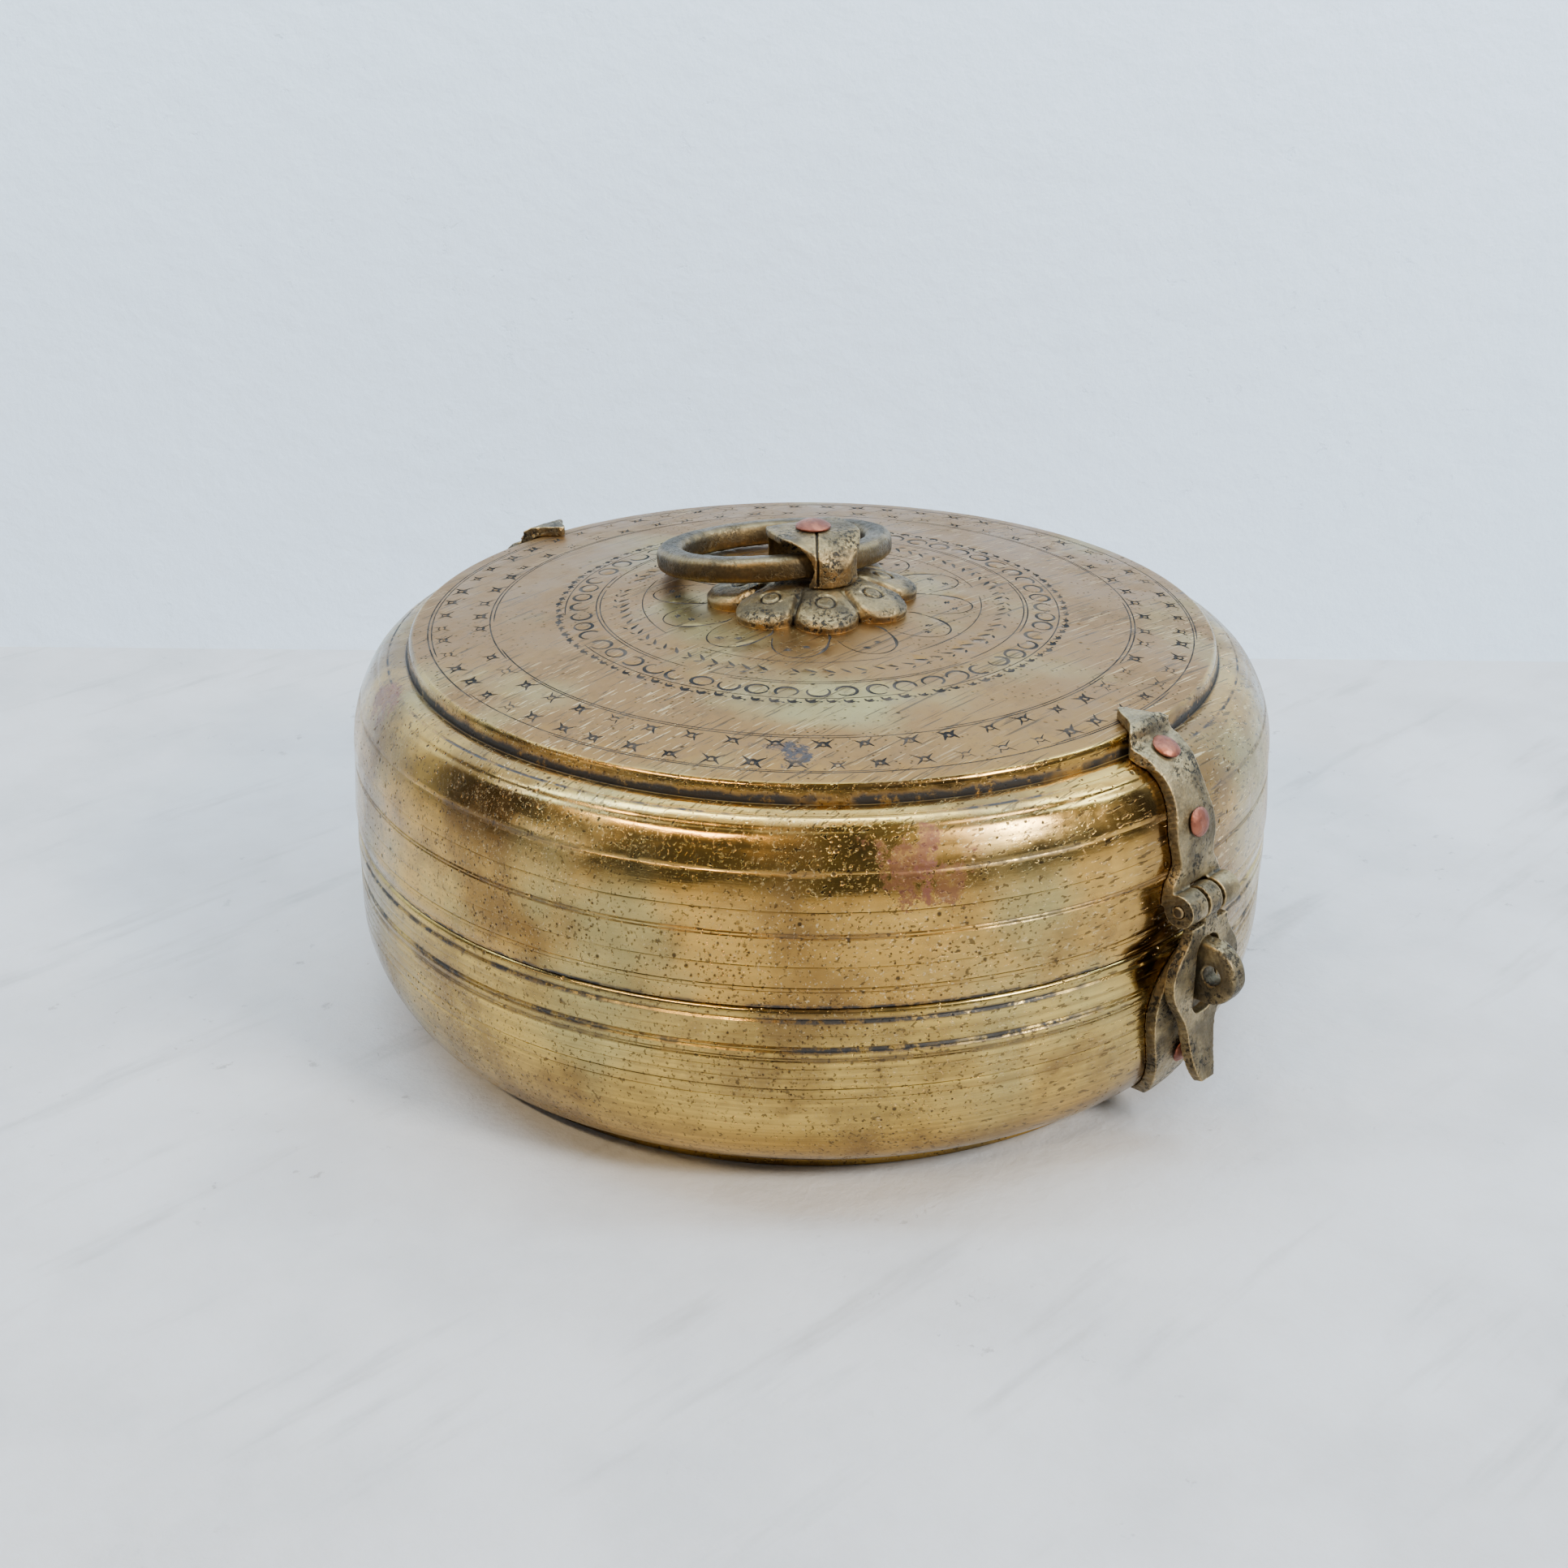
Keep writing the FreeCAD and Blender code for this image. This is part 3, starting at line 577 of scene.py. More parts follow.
def engraved_disc(edge_ring):
    """Triangles of the disc: (points, faces, which of them are cut). The first points are edge_ring."""
    cuts = cut_disc()
    points = list(edge_ring)
    count = len(points)
    edges = [(i, (i + 1) % count) for i in range(count)]
    lines, line_edges = cuts.outlines()
    edges += [(a + count, b + count) for a, b in line_edges]
    points += lines
    for ring in range(1, DISC_RINGS + 1):
        radius = ring * DISC_RING_STEP
        around = max(8, int(radius * 1.1))
        for i in range(around):
            angle = 2 * math.pi * (i + 0.5 * (ring % 2)) / around
            points.append((radius * math.cos(angle), radius * math.sin(angle)))
    made = delaunay_2d_cdt([Vector(p) for p in points], edges, [], 0, 1e-4)
    flat, faces, origins = made[0], made[2], made[3]
    place_of = {}
    for index, sources in enumerate(origins):
        for source in sources:
            if source < count:
                place_of[index] = source
    verts = []
    for index, point in enumerate(flat):
        height = disc_height(min(point.length, DISC_EDGE_R))
        verts.append((point.x, point.y, height - cuts.depth_at(point.x, point.y)))
    cut = []
    for face in faces:
        middle = sum((flat[i] for i in face), Vector((0, 0))) / len(face)
        cut.append(cuts.depth_at(middle.x, middle.y) > 0.012)
    return verts, faces, cut, place_of


# ---------------------------------------------------------------- materials

class Paint:
    """Builds the nodes of one material. Its places are the piece's own, in metres."""

    def __init__(self, name):
        self.material = bpy.data.materials.new(name)
        self.material.use_nodes = True
        self.tree = self.material.node_tree
        self.shader = self.tree.nodes["Principled BSDF"]
        coordinates = self.tree.nodes.new("ShaderNodeTexCoord")
        self.place = coordinates.outputs["Object"]
        parts = self.node("ShaderNodeSeparateXYZ", {"Vector": self.place})
        self.x, self.y, self.z = parts.outputs
        flat = self.node("ShaderNodeCombineXYZ", {"X": self.x, "Y": self.y})
        length = self.node("ShaderNodeVectorMath", {0: flat.outputs[0]}, operation="LENGTH")
        self.radius = length.outputs["Value"]

    def node(self, kind, values=None, **settings):
        made = self.tree.nodes.new(kind)
        for name, value in settings.items():
            setattr(made, name, value)
        for name, value in (values or {}).items():
            self.put(made.inputs[name], value)
        return made

    def put(self, socket, value):
        if isinstance(value, bpy.types.NodeSocket):
            self.tree.links.new(value, socket)
        else:
            socket.default_value = value

    def math(self, operation, first, second=0.0):
        return self.node("ShaderNodeMath", {0: first, 1: second}, operation=operation).outputs[0]

    def vector(self, x, y, z):
        return self.node("ShaderNodeCombineXYZ", {"X": x, "Y": y, "Z": z}).outputs[0]

    def turned(self, degrees, scale):
        """The place, turned about Z and stretched."""
        made = self.node("ShaderNodeMapping", {"Vector": self.place, "Scale": scale})
        made.inputs["Rotation"].default_value = (0, 0, math.radians(degrees))
        return made.outputs[0]

    def noise(self, scale, detail=4.0, roughness=0.55, where=None, distortion=0.0):
        values = {"Vector": where or self.place, "Scale": scale, "Detail": detail}
        values["Roughness"] = roughness
        values["Distortion"] = distortion
        return self.node("ShaderNodeTexNoise", values).outputs["Fac"]

    def cells(self, scale, where=None):
        values = {"Vector": where or self.place, "Scale": scale}
        return self.node("ShaderNodeTexVoronoi", values).outputs["Distance"]

    def span(self, value, low, high, to_low=0.0, to_high=1.0):
        """value from low..high mapped smoothly to to_low..to_high and held there."""
        values = {"Value": value, "From Min": low, "From Max": high, "To Min": to_low, "To Max": to_high}
        return self.node("ShaderNodeMapRange", values, interpolation_type="SMOOTHSTEP").outputs["Result"]

    def times(self, first, second):
        return self.math("MULTIPLY", first, second)

    def plus(self, first, second):
        return self.math("ADD", first, second)

    def most(self, first, second):
        return self.math("MAXIMUM", first, second)

    def blend(self, share, first, second):
        made = self.node("ShaderNodeMix", data_type="RGBA")
        self.put(made.inputs[0], share)
        self.put(made.inputs[6], first)
        self.put(made.inputs[7], second)
        return made.outputs[2]

    def bump(self, height, distance, strength=1.0, under=None):
        values = {"Height": height, "Distance": distance, "Strength": strength}
        if under is not None:
            values["Normal"] = under
        return self.node("ShaderNodeBump", values).outputs[0]

    def finish(self, colour, roughness, normal, metallic=1.0):
        self.put(self.shader.inputs["Base Color"], colour)
        self.put(self.shader.inputs["Roughness"], roughness)
        self.put(self.shader.inputs["Normal"], normal)
        self.put(self.shader.inputs["Metallic"], metallic)
        return self.material


def rgb(red, green, blue):
    return (red, green, blue, 1.0)


def turning_marks(paint, fineness):
    """Noise drawn out round the axis, as a lathe leaves it."""
    climb = paint.plus(paint.z, paint.radius)
    across = [paint.times(paint.x, 14.0), paint.times(paint.y, 14.0)]
    where = paint.vector(*across, paint.times(climb, fineness))
    return paint.noise(1.0, 3.0, 0.6, where)


def scratches(paint, degrees, fineness, low):
    """Thin straight scratches in one direction."""
    where = paint.turned(degrees, (22.0, fineness, fineness * 0.8))
    lines = paint.noise(1.0, 2.0, 0.5, where)
    return paint.span(lines, low, low + 0.02)


def pits(paint, scale, size, gate_scale, gate_low):
    """Scattered small pits: 1 in a pit."""
    dots = paint.span(paint.cells(scale), size, size * 0.4)
    gate = paint.span(paint.noise(gate_scale, 3.0), gate_low, gate_low + 0.08)
    return paint.times(dots, gate)


def brass_sheet(name, golden, brown, tan, top_share, brushed):
    """Turned sheet brass.

    top_share says how tan and dull the top is, brushed how plain the lathe marks are.
    """
    paint = Paint(name)
    broad = paint.noise(11.0, 5.0, 0.6)
    clouds = paint.noise(42.0, 6.0, 0.68)
    grain = paint.noise(900.0, 4.0, 0.7)
    marks = turning_marks(paint, 950.0)
    fine_marks = turning_marks(paint, 2600.0)
    on_top = paint.times(paint.span(paint.z, 0.1035, 0.1047), paint.span(paint.radius, 0.1078, 0.1064))
    dull = paint.plus(paint.times(on_top, top_share), paint.span(broad, 0.42, 0.68, 0.0, 0.45))
    colour = paint.blend(paint.span(paint.noise(27.0, 5.0, 0.62), 0.38, 0.62), golden, brown)
    colour = paint.blend(paint.span(dull, 0.0, 1.0), colour, tan)
    darker = paint.blend(paint.span(clouds, 0.46, 0.72, 0.0, 0.6), colour, rgb(0.17, 0.105, 0.05))
    patches = paint.noise(19.0, 4.0, 0.5, paint.turned(30, (1.0, 1.0, 1.0)))
    greenish = paint.span(patches, 0.52, 0.7, 0.0, 0.55)
    toned = paint.blend(greenish, darker, rgb(0.42, 0.38, 0.16))
    pale = paint.most(scratches(paint, 24, 1500.0, 0.65), scratches(paint, 107, 1700.0, 0.66))
    pale = paint.times(pale, paint.span(broad, 0.35, 0.6))
    toned = paint.blend(paint.times(pale, 0.5), toned, rgb(0.80, 0.62, 0.34))
    deep = paint.most(scratches(paint, 68, 1100.0, 0.645), scratches(paint, 143, 1300.0, 0.65))
    toned = paint.blend(paint.times(deep, 0.75), toned, rgb(0.055, 0.035, 0.018))
    holes = paint.most(pits(paint, 560.0, 0.24, 30.0, 0.46), pits(paint, 210.0, 0.16, 18.0, 0.5))
    toned = paint.blend(paint.times(holes, 0.9), toned, rgb(0.035, 0.025, 0.015))
    plain = paint.math("SUBTRACT", 1.0, paint.times(on_top, 0.8))
    streaks = paint.times(paint.span(marks, 0.32, 0.62, 0.0, brushed), plain)
    tint = paint.blend(streaks, toned, rgb(0.19, 0.12, 0.05))
    specks = paint.span(paint.noise(520.0, 5.0, 0.8), 0.55, 0.66)
    tint = paint.blend(paint.times(specks, paint.times(on_top, 0.5)), tint, rgb(0.10, 0.065, 0.035))
    roughness = paint.span(dull, 0.0, 1.0, 0.17, 0.40)
    roughness = paint.plus(roughness, paint.span(clouds, 0.35, 0.7, -0.05, 0.14))
    roughness = paint.plus(roughness, paint.times(holes, 0.3))
    relief = paint.plus(paint.times(marks, 0.7), paint.times(fine_marks, 0.3))
    relief = paint.times(paint.times(relief, plain), 0.5 + brushed)
    beaten = paint.noise(52.0, 2.0, 0.5)
    normal = paint.bump(beaten, 0.0011, 0.5)
    normal = paint.bump(relief, 0.00006, 0.7, normal)
    normal = paint.bump(grain, 0.00003, 0.4, normal)
    sunk = paint.math("SUBTRACT", 1.0, paint.most(holes, paint.times(paint.most(deep, pale), 0.4)))
    normal = paint.bump(sunk, 0.00014, 0.9, normal)
    return paint, tint, roughness, normal


def stain(paint, look, spot_at, reach, tone, strength):
    """A blotch of tarnish with a ragged edge round one place."""
    shade, rough, metal = look
    away = paint.node("ShaderNodeVectorMath", {0: paint.place, 1: spot_at}, operation="DISTANCE")
    ragged = paint.span(paint.noise(170.0, 7.0, 0.8), 0.36, 0.64, -0.5, 0.5)
    lobes = paint.span(paint.noise(75.0, 3.0, 0.5), 0.34, 0.66, -0.45, 0.45)
    inside = paint.plus(paint.times(away.outputs["Value"], -1.0 / reach), paint.plus(ragged, lobes))
    amount = paint.span(inside, -0.95, -0.75, 0.0, strength)
    mottled = paint.times(amount, paint.span(paint.noise(420.0, 5.0, 0.75), 0.36, 0.52, 0.45, 1.0))
    shade = paint.blend(mottled, shade, tone)
    rough = paint.plus(rough, paint.times(amount, 0.12))
    metal = paint.math("SUBTRACT", metal, paint.times(mottled, 0.5))
    return shade, rough, metal


def residue(paint, where, colour, roughness, metallic=1.0, fill=0.0):
    """Black broken grime where the mask says. A higher fill leaves fewer gaps."""
    broken = paint.span(paint.noise(260.0, 6.0, 0.75), 0.36 - fill, 0.54 - fill)
    long_gaps = paint.span(paint.noise(24.0, 4.0, 0.6), 0.40 - fill, 0.52 - fill)
    amount = paint.times(where, paint.times(broken, long_gaps))
    shade = paint.blend(amount, colour, rgb(0.012, 0.011, 0.010))
    rough = paint.plus(roughness, paint.times(amount, 0.35))
    metal = paint.math("SUBTRACT", metallic, paint.times(amount, 0.9))
    return shade, rough, metal


def near(paint, value, centre, half):
    """1 close to centre, falling to 0 at half away."""
    off = paint.math("ABSOLUTE", paint.math("SUBTRACT", value, centre))
    return paint.span(off, half, half * 0.3)


def front_place(angle_deg, radius, height):
    """A place on the box, in metres, by its angle round from the +X side."""
    turn = math.radians(angle_deg)
    return (radius * math.cos(turn), radius * math.sin(turn), height)


def lid_brass():
    paint, colour, roughness, normal = brass_sheet(
        "lid_brass", rgb(0.60, 0.35, 0.08), rgb(0.22, 0.12, 0.034), rgb(0.26, 0.13, 0.036), 0.85, 0.2
    )
    lines = paint.times(near(paint, paint.z, 0.0740, 0.0012), 0.6)
    crown = paint.times(near(paint, paint.radius, 0.1138, 0.0005), paint.span(paint.z, 0.097, 0.098))
    rim = near(paint, paint.z, 0.0558, 0.0012)
    flank = paint.times(near(paint, paint.z, 0.0886, 0.0010), 0.6)
    grime = paint.most(paint.most(lines, rim), paint.most(crown, flank))
    shade, rough, metal = residue(paint, grime, colour, roughness)
    low = paint.plus(paint.z, paint.times(paint.noise(120.0, 4.0, 0.7), 0.003))
    foot = paint.times(near(paint, paint.radius, 0.1084, 0.0012), paint.span(low, 0.1047, 0.1030))
    look = residue(paint, foot, shade, rough, metal, 0.09)
    plum = rgb(0.14, 0.042, 0.03)
    black = rgb(0.02, 0.018, 0.022)
    look = stain(paint, look, front_place(-127.5, 0.1215, 0.0915), 0.0088, plum, 0.8)
    look = stain(paint, look, front_place(-122.0, 0.1235, 0.0860), 0.0060, plum, 0.7)
    look = stain(paint, look, front_place(-140.5, 0.0925, 0.1064), 0.0062, black, 0.95)
    look = stain(paint, look, front_place(152, 0.116, 0.098), 0.007, plum, 0.7)
    shade, rough, metal = look
    return paint.finish(shade, rough, normal, metal)


def bowl_brass():
    paint, colour, roughness, normal = brass_sheet(
        "bowl_brass", rgb(0.62, 0.41, 0.10), rgb(0.24, 0.142, 0.042), rgb(0.24, 0.142, 0.05), 0.0, 0.42
    )
    double = near(paint, paint.z, 0.0447, 0.0015)
    single = near(paint, paint.z, 0.0525, 0.0012)
    thin = paint.times(near(paint, paint.z, 0.0420, 0.0012), 0.6)
    foot = near(paint, paint.z, 0.0050, 0.0022)
    grime = paint.most(paint.most(double, single), paint.most(foot, thin))
    shade, rough, metal = residue(paint, grime, colour, roughness)
    return paint.finish(shade, rough, normal, metal)


def cut_brass():
    """The dark, dirt-filled cuts of the engraving."""
    paint = Paint("cut_brass")
    filled = paint.span(paint.noise(180.0, 4.0), 0.35, 0.62)
    colour = paint.blend(filled, rgb(0.045, 0.030, 0.017), rgb(0.009, 0.008, 0.007))
    normal = paint.bump(paint.noise(2500.0, 3.0), 0.00003, 0.5)
    return paint.finish(colour, paint.span(filled, 0.0, 1.0, 0.6, 0.85), normal, 0.5)


def cast_brass(name, light, dark, speckle):
    """Rough cast brass: sandy pits, dark tarnish, and bright metal on worn ridges."""
    paint = Paint(name)
    broad = paint.noise(70.0, 5.0, 0.65)
    sand = paint.noise(1300.0, 4.0, 0.75)
    lumps = paint.noise(260.0, 3.0, 0.6)
    grains = paint.span(paint.noise(900.0, 3.0, 0.7), 0.49, 0.58)
    gate = paint.span(paint.noise(110.0, 4.0, 0.6), 0.42, 0.58)
    geometry = paint.node("ShaderNodeNewGeometry")
    ridge = paint.span(geometry.outputs["Pointiness"], 0.515, 0.575)
    ridge = paint.times(ridge, paint.span(paint.noise(160.0, 4.0, 0.6), 0.34, 0.5, 0.3, 1.0))
    hollow = paint.span(geometry.outputs["Pointiness"], 0.499, 0.46)
    colour = paint.blend(paint.span(broad, 0.40, 0.60), light, dark)
    colour = paint.blend(paint.span(sand, 0.40, 0.62, 0.0, 0.45), colour, dark)
    colour = paint.blend(paint.times(hollow, 0.9), colour, rgb(0.016, 0.013, 0.010))
    colour = paint.blend(paint.times(paint.times(grains, gate), speckle), colour, rgb(0.018, 0.017, 0.015))
    colour = paint.blend(paint.times(ridge, 0.85), colour, rgb(0.66, 0.47, 0.22))
    roughness = paint.math("SUBTRACT", paint.span(broad, 0.3, 0.7, 0.34, 0.50), paint.times(ridge, 0.12))
    roughness = paint.plus(roughness, paint.times(grains, 0.12))
    normal = paint.bump(lumps, 0.0005, 0.5)
    normal = paint.bump(sand, 0.00016, 0.8, normal)
    normal = paint.bump(paint.math("SUBTRACT", 1.0, paint.times(grains, gate)), 0.00018, 0.8, normal)
    return paint.finish(colour, roughness, normal, 0.92)


def copper():
    paint = Paint("copper")
    broad = paint.noise(240.0, 4.0, 0.6)
    spots = paint.span(paint.noise(700.0, 4.0, 0.7), 0.57, 0.68)
    edge = paint.span(paint.node("ShaderNodeNewGeometry").outputs["Pointiness"], 0.50, 0.46)
    colour = paint.blend(paint.span(broad, 0.38, 0.62), rgb(0.27, 0.092, 0.052), rgb(0.16, 0.055, 0.036))
    colour = paint.blend(paint.times(paint.most(spots, edge), 0.8), colour, rgb(0.05, 0.025, 0.02))
    normal = paint.bump(paint.noise(420.0, 4.0, 0.7), 0.00025, 0.6)
    normal = paint.bump(paint.noise(1500.0, 3.0, 0.7), 0.00008, 0.6, normal)
    return paint.finish(colour, paint.span(broad, 0.3, 0.7, 0.40, 0.56), normal, 0.85)


def plaster(name, colour, other, worn, scale):
    """Matt painted plaster: faint mottling, trowel marks, small chips and scratches."""
    paint = Paint(name)
    mottle = paint.noise(scale, 5.0, 0.6)
    shade = paint.blend(paint.span(mottle, 0.35, 0.7), colour, other)
    drawn = paint.noise(1.0, 4.0, 0.6, paint.turned(35, (9.0, 60.0, 9.0)))
    shade = paint.blend(paint.span(drawn, 0.55, 0.75, 0.0, 0.5), shade, worn)
    chips = paint.span(paint.noise(130.0, 6.0, 0.7), 0.62, 0.68)
    chips = paint.times(chips, paint.span(paint.noise(7.0, 3.0), 0.46, 0.58))
    shade = paint.blend(paint.times(chips, 0.6), shade, worn)
    normal = paint.bump(paint.noise(60.0, 6.0, 0.65), 0.002, 0.6)
    normal = paint.bump(paint.math("SUBTRACT", paint.times(drawn, 0.5), chips), 0.0008, 0.4, normal)
    return paint.finish(shade, paint.span(mottle, 0.3, 0.7, 0.6, 0.75), normal, 0.0)


# ---------------------------------------------------------------- cast and forged pieces

def cast_piece(node, body, material, voxel=0.34, pit=0.05, facet=0.10, shape=None, rounds=3):
    """A cast copy of a CAD node: softened edges and an uneven skin. shape moves points further."""
    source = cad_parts[node]
    work = bpy.data.objects.new(node + "_work", source.data.copy())
    work.matrix_world = source.matrix_world.copy()
    bpy.context.scene.collection.objects.link(work)
    remesh = work.modifiers.new("skin", "REMESH")
    remesh.mode = "VOXEL"
    remesh.voxel_size = voxel * MM
    soften = work.modifiers.new("soften", "SMOOTH")
    soften.factor = 0.5
    soften.iterations = rounds
    bpy.context.view_layer.update()
    evaluated = work.evaluated_get(bpy.context.evaluated_depsgraph_get())
    mesh = bpy.data.meshes.new_from_object(evaluated)
    mesh.transform(work.matrix_world)
    bpy.data.objects.remove(work)
    mesh.name = node + "_cast"
    offsets = []
    for vertex in mesh.vertices:
        place = vertex.co / MM
        normal = vertex.normal
        skin = facet * noise.noise(place * 0.35) + pit * noise.noise(place * 1.6)
        moved = place + normal * (skin - 0.45 * (facet + pit))
        if shape is not None:
            moved += shape(place, normal)
        offsets.append(moved * MM)
    for vertex, moved in zip(mesh.vertices, offsets):
        vertex.co = moved
    for polygon in mesh.polygons:
        polygon.use_smooth = True
    mesh.materials.clear()
    mesh.materials.append(material)
    piece = bpy.data.objects.new(node + "_cast", mesh)
    bpy.context.scene.collection.objects.link(piece)
    declare(piece, body, [node])
    return piece


def filed_edges(place, normal):
    """Slanting file strokes on the side faces of a strap."""
    side = abs(normal.x)
    if side < 0.75:
        return Vector((0, 0, 0))
    run = place.z * 0.9 + place.y * 0.45
    groove = 0.5 + 0.5 * math.sin(run * 2 * math.pi / 1.35 + 2.2 * noise.noise(place * 0.3))
    return normal * (-0.13 * groove * (side - 0.75) / 0.25)


def saddle_line(place, normal):
    """The chased line that runs from the rivet down the front leg of the saddle."""
    e = place.x * math.cos(RING_TURN) + place.y * math.sin(RING_TURN)
    f = -place.x * math.sin(RING_TURN) + place.y * math.cos(RING_TURN)
    middle = -1.2 + 0.5 * (e + 4.0)
    off = abs(-f - middle) / 0.62
    if e > -3.5 or off > 1 or normal.length == 0:
        return Vector((0, 0, 0))
    forward = normal.x * math.cos(RING_TURN) + normal.y * math.sin(RING_TURN)
    outward = normal.z > 0.2 or forward < -0.5
    return normal * (-0.75 * (1 - off)) if outward else Vector((0, 0, 0))


def rosette_piece(material):
    """The domed flower: petals crowned one by one, each with a small ring cut in it."""
    around = 416
    across = 74
    rows = []
    verts = []
    for j in range(across + 1):
        share = j / across
        row = []
        for i in range(around):
            angle = 2 * math.pi * i / around
            radius = petal_reach(angle) * share
            if j == 0 and i > 0:
                row.append(row[0])
                continue
            row.append(len(verts))
            height = rosette_height(angle, radius, share)
            verts.append((radius * math.cos(angle), radius * math.sin(angle), height))
        rows.append(row)
    for drop in (0.35, 0.7, 1.0):
        row = []
        for i in range(around):
            angle = 2 * math.pi * i / around
            radius = petal_reach(angle) - 0.25 * drop
            edge = verts[rows[-1][i]][2]
            row.append(len(verts))
            bottom = disc_height(radius) + 0.05
            height = edge + (bottom - edge) * drop
            verts.append((radius * math.cos(angle), radius * math.sin(angle), height))
        rows.append(row)
    centre = len(verts)
    verts.append((0, 0, DISC_Z + 0.05))
    rows.append([centre] * around)
    faces = [face for face in row_faces(rows) if len(face) > 2]
    piece = add_object("rosette", verts, faces, "lid", ["handle_rosette"], [material])
    tidy_normals(piece.data, 50)
    return piece


def petal_offset(angle):
    """Angle from the middle of the nearest petal."""
    step = 2 * math.pi / PETALS
    return (angle - PETAL_START + step / 2) % step - step / 2


def petal_reach(angle):
    off = petal_offset(angle)
    reach = PETAL_R ** 2 - (PETAL_AT_R * math.sin(off)) ** 2
    return PETAL_AT_R * math.cos(off) + math.sqrt(max(0.0, reach)) - 0.15


def rosette_height(angle, radius, share):
    off = petal_offset(angle)
    if radius < ROSETTE_TOP_R - 1:
        return ROSETTE_TOP_Z
    out = (radius - ROSETTE_TOP_R) / (PETAL_AT_R + PETAL_R - ROSETTE_TOP_R)
    out = min(1.0, max(0.0, out))
    dome = ROSETTE_TOP_Z - (ROSETTE_TOP_Z - ROSETTE_EDGE_Z) * (out ** 1.25)
    side = abs(off) * radius
    gap = math.sin(math.pi / PETALS) * radius
    furrow = 1.7 * math.exp(-((gap - side) / 0.75) ** 2) * min(1.0, max(0.0, out * 3))
    crown = -0.9 * (side / 8.3) ** 2 * out
    lip = -1.1 * max(0.0, share - 0.93) / 0.07 * max(0.0, share - 0.93) / 0.07
    eye_r = math.hypot(radius * math.cos(off) - 19.2, radius * math.sin(off))
    eye = -0.55 * math.exp(-((eye_r - 2.5) / 0.42) ** 2)
    skin = 0.10 * noise.noise(Vector((radius * math.cos(angle), radius * math.sin(angle), 3.0)) * 0.5)
    return min(ROSETTE_TOP_Z, dome + crown - furrow + lip + eye + skin)


def ring_piece(material):
    """The bent bar of the handle, hammered a little flat on its faces."""
    around = 300
    section = 28
    middle_r = RING_OUTER_R - BAR_W / 2
    drop = BAR_Z - (RING_REST_Z + 0.3 + BAR_H / 2)
    tilt = math.asin(drop / (2 * middle_r))
    verts = []
    rows = []
    for i in range(around):
        turn = 2 * math.pi * i / around
        row = []
        for k in range(section):
            bend = 2 * math.pi * k / section
            c = math.cos(bend)
            s = math.sin(bend)
            square = (abs(c) ** 3.2 + abs(s) ** 3.2) ** (-1 / 3.2)
            wear = 0.10 * noise.noise(Vector((turn * 9, c * 1.5, s * 1.5)))
            ripple = 0.05 * math.sin(turn * 150 + 3 * noise.noise(Vector((turn * 5, s, 0)))) * max(0.0, c)
            half_w = BAR_W / 2 - 0.1 + wear + ripple
            half_h = BAR_H / 2 - 0.1 + wear
            radial = middle_r + half_w * c * square
            out = radial * math.cos(turn) + middle_r - TUNNEL_OFF
            row.append(len(verts))
            verts.append(Vector((out, radial * math.sin(turn), half_h * s * square)))
        rows.append(row)
    lean = Matrix.Rotation(tilt, 3, "Y")
    spin = Matrix.Rotation(RING_TURN, 3, "Z")
    hinge = Vector((-TUNNEL_OFF, 0, 0))
    placed = []
    for place in verts:
        moved = lean @ (place - hinge) + hinge + Vector((0, 0, BAR_Z))
        placed.append(tuple(spin @ moved))
    faces = row_faces(rows + [rows[0]])
    piece = add_object("ring", placed, faces, "ring", ["handle_ring"], [material])
    tidy_normals(piece.data, 60)
    return piece


# ---------------------------------------------------------------- the two shells

def build_bowl(material):
    verts, rows = ring_rows(bowl_profile(), SEGMENTS, dent)
    piece = add_object(
        "bowl", verts, row_faces(rows), "base", ["bowl_shell"], [material]
    )
    tidy_normals(piece.data, 32)
    return piece


def build_lid(material, cut_material):
    verts, rows = ring_rows(lid_profile(), SEGMENTS, dent)
    faces = row_faces(rows)
    marks = [0] * len(faces)
    edge = [verts[i][:2] for i in rows[0]]
    disc_verts, disc_faces, cut, place_of = engraved_disc(edge)
    index_of = {}
    for index, place in enumerate(disc_verts):
        if index in place_of:
            index_of[index] = rows[0][place_of[index]]
        else:
            index_of[index] = len(verts)
            verts.append(place)
    for face, is_cut in zip(disc_faces, cut):
        corners = [index_of[i] for i in face]
        if len(set(corners)) > 2:
            faces.append(corners)
            marks.append(1 if is_cut else 0)
    piece = add_object(
        "lid", verts, faces, "lid", ["lid_shell"], [material, cut_material]
    )
    for polygon, mark in zip(piece.data.polygons, marks):
        polygon.material_index = mark
    tidy_normals(piece.data, 24)
    return piece


# ---------------------------------------------------------------- stage, light and camera

def plane(name, corners, material):
    mesh = bpy.data.meshes.new(name)
    mesh.from_pydata(corners, [], [(0, 1, 2, 3)])
    mesh.materials.append(material)
    piece = bpy.data.objects.new(name, mesh)
    bpy.context.scene.collection.objects.link(piece)
    return piece


def turned_from_front(place):
    return Matrix.Rotation(CAMERA_TURN, 3, "Z") @ Vector(place)


def area_light(name, place, target, size, power, colour):
    data = bpy.data.lights.new(name, "AREA")
    data.shape = "RECTANGLE"
    data.size, data.size_y = size
    data.energy = power
    data.color = colour
    light = bpy.data.objects.new(name, data)
    bpy.context.scene.collection.objects.link(light)
    light.location = turned_from_front(place)
    aim = turned_from_front(target) - light.location
    light.rotation_euler = aim.to_track_quat("-Z", "Y").to_euler()


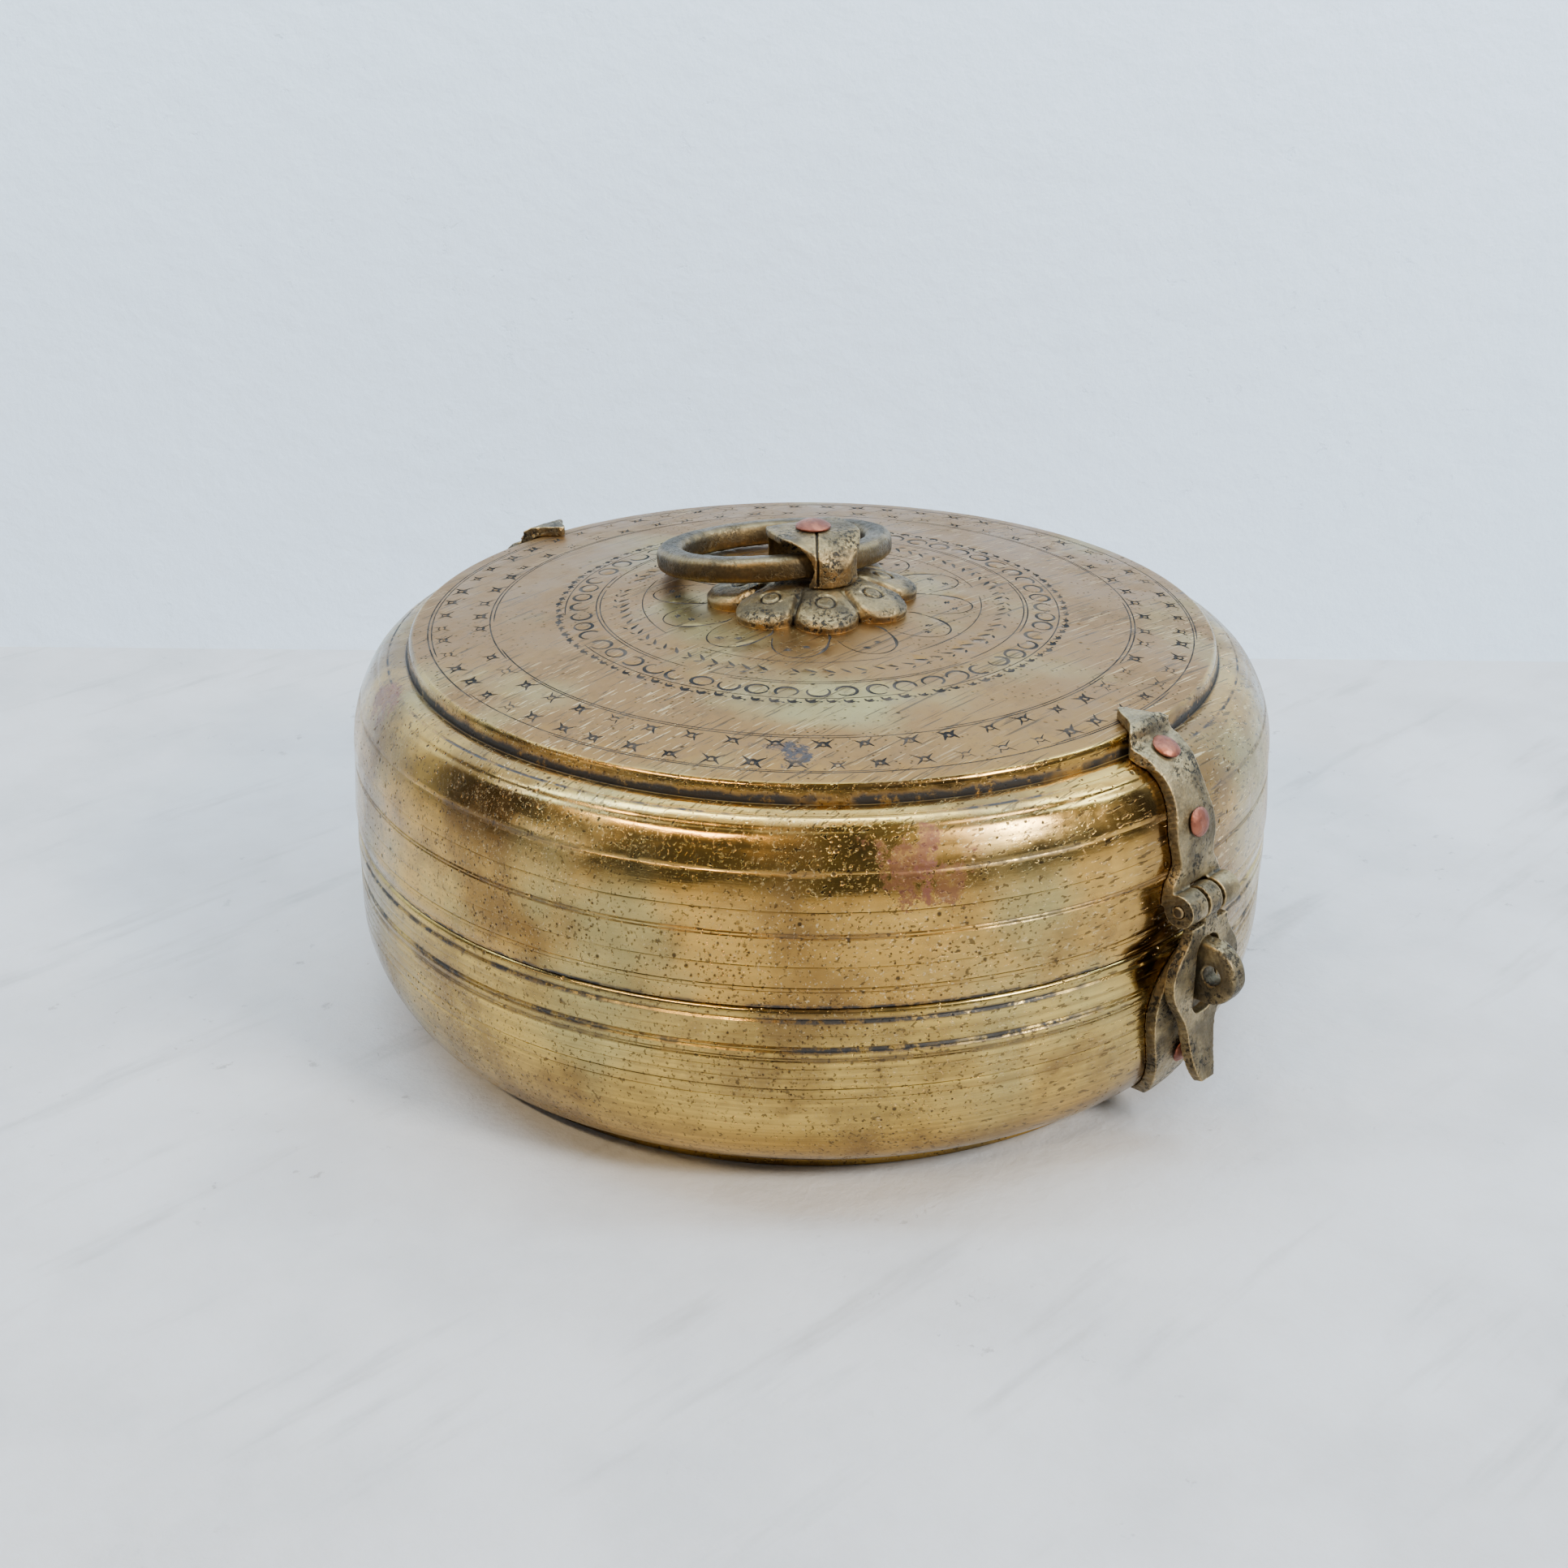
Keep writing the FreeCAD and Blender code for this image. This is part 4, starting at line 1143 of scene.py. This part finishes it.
def build_stage():
    floor = plaster(
        "floor_plaster", rgb(0.54, 0.54, 0.545), rgb(0.45, 0.45, 0.455), rgb(0.26, 0.25, 0.24), 14.0
    )
    wall = plaster(
        "wall_plaster", rgb(0.70, 0.84, 1.0), rgb(0.67, 0.82, 0.98), rgb(0.65, 0.79, 0.96), 2.0
    )
    reach = STAGE_REACH
    foot = [(reach, WALL_BACK, 0), (-reach, WALL_BACK, 0)]
    corners = [(-reach, -reach, 0), (reach, -reach, 0), *foot]
    plane("floor", [turned_from_front(c) for c in corners], floor)
    corners = [*foot[::-1], (reach, WALL_BACK, WALL_HEIGHT), (-reach, WALL_BACK, WALL_HEIGHT)]
    plane("wall", [turned_from_front(c) for c in corners], wall)


def build_lights():
    world = bpy.data.worlds.new("soft")
    bpy.context.scene.world = world
    world.use_nodes = True
    background = world.node_tree.nodes["Background"]
    background.inputs["Color"].default_value = rgb(0.80, 0.87, 1.0)
    background.inputs["Strength"].default_value = 0.14
    area_light("window", (1.45, -1.10, 1.38), (0, 0, 0.05), (0.5, 0.5), 64, (1.0, 0.96, 0.90))
    area_light("above", (-0.3, 0.1, 1.9), (0, 0, 0.05), (1.5, 1.5), 8, (0.95, 0.97, 1.0))
    area_light("strip", (-0.72, -0.86, 1.08), (0, 0, 0.09), (0.8, 0.05), 14, (1.0, 0.74, 0.42))
    area_light("left", (-1.7, -0.9, 0.45), (0, 0, 0.05), (0.7, 0.4), 2, (1.0, 0.93, 0.84))
    area_light("wash", (0.0, -0.02, 0.75), (0, WALL_BACK, 0.22), (1.8, 0.12), 15, (0.58, 0.79, 1.0))


def build_camera():
    data = bpy.data.cameras.new("camera")
    data.sensor_width = 36.0
    data.lens = CAMERA_LENS
    camera = bpy.data.objects.new("camera", data)
    bpy.context.scene.collection.objects.link(camera)
    heading = Matrix.Rotation(CAMERA_TURN + CAMERA_HEADING, 4, "Z")
    pitch = Matrix.Rotation(math.pi / 2 - CAMERA_PITCH, 4, "X")
    roll = Matrix.Rotation(CAMERA_ROLL, 4, "Z")
    place = Matrix.Translation(turned_from_front((0, -CAMERA_BACK, CAMERA_HEIGHT)))
    camera.matrix_world = place @ heading @ pitch @ roll
    bpy.context.scene.camera = camera


def build_fittings():
    strap = cast_brass("strap_brass", rgb(0.33, 0.25, 0.125), rgb(0.10, 0.078, 0.045), 0.9)
    flower = cast_brass("flower_brass", rgb(0.28, 0.19, 0.08), rgb(0.09, 0.066, 0.036), 0.92)
    bar = cast_brass("bar_brass", rgb(0.12, 0.082, 0.036), rgb(0.05, 0.037, 0.020), 0.5)
    pin = cast_brass("pin_brass", rgb(0.16, 0.12, 0.06), rgb(0.07, 0.054, 0.034), 0.5)
    red = copper()
    for node in ("hasp_lid_plate", "hinge_lid_leaf"):
        cast_piece(node, "lid", strap, shape=filed_edges)
    for node in ("staple_plate", "hinge_body_leaf"):
        cast_piece(node, "base", strap, shape=filed_edges)
    cast_piece("staple_eye", "base", strap)
    cast_piece("hasp_swing_plate", "hasp", strap, shape=filed_edges)
    cast_piece("handle_saddle", "lid", flower, voxel=0.28, shape=saddle_line, rounds=16)
    for node in ("hasp_pin", "hinge_pin"):
        cast_piece(node, "lid", pin, voxel=0.3, facet=0.04, pit=0.03)
    lid_rivets = ["handle_rivet"]
    for place in ("hasp", "hinge_lid"):
        lid_rivets += [place + "_rivet_upper", place + "_rivet_lower"]
    body_rivets = ["staple_rivet", "hinge_body_rivet_upper", "hinge_body_rivet_lower"]
    for node in lid_rivets:
        cast_piece(node, "lid", red, voxel=0.26, facet=0.12, pit=0.05)
    for node in body_rivets:
        cast_piece(node, "base", red, voxel=0.26, facet=0.12, pit=0.05)
    rosette_piece(flower)
    ring_piece(bar)


build_bowl(bowl_brass())
build_lid(lid_brass(), cut_brass())
build_fittings()
build_stage()
build_lights()
build_camera()
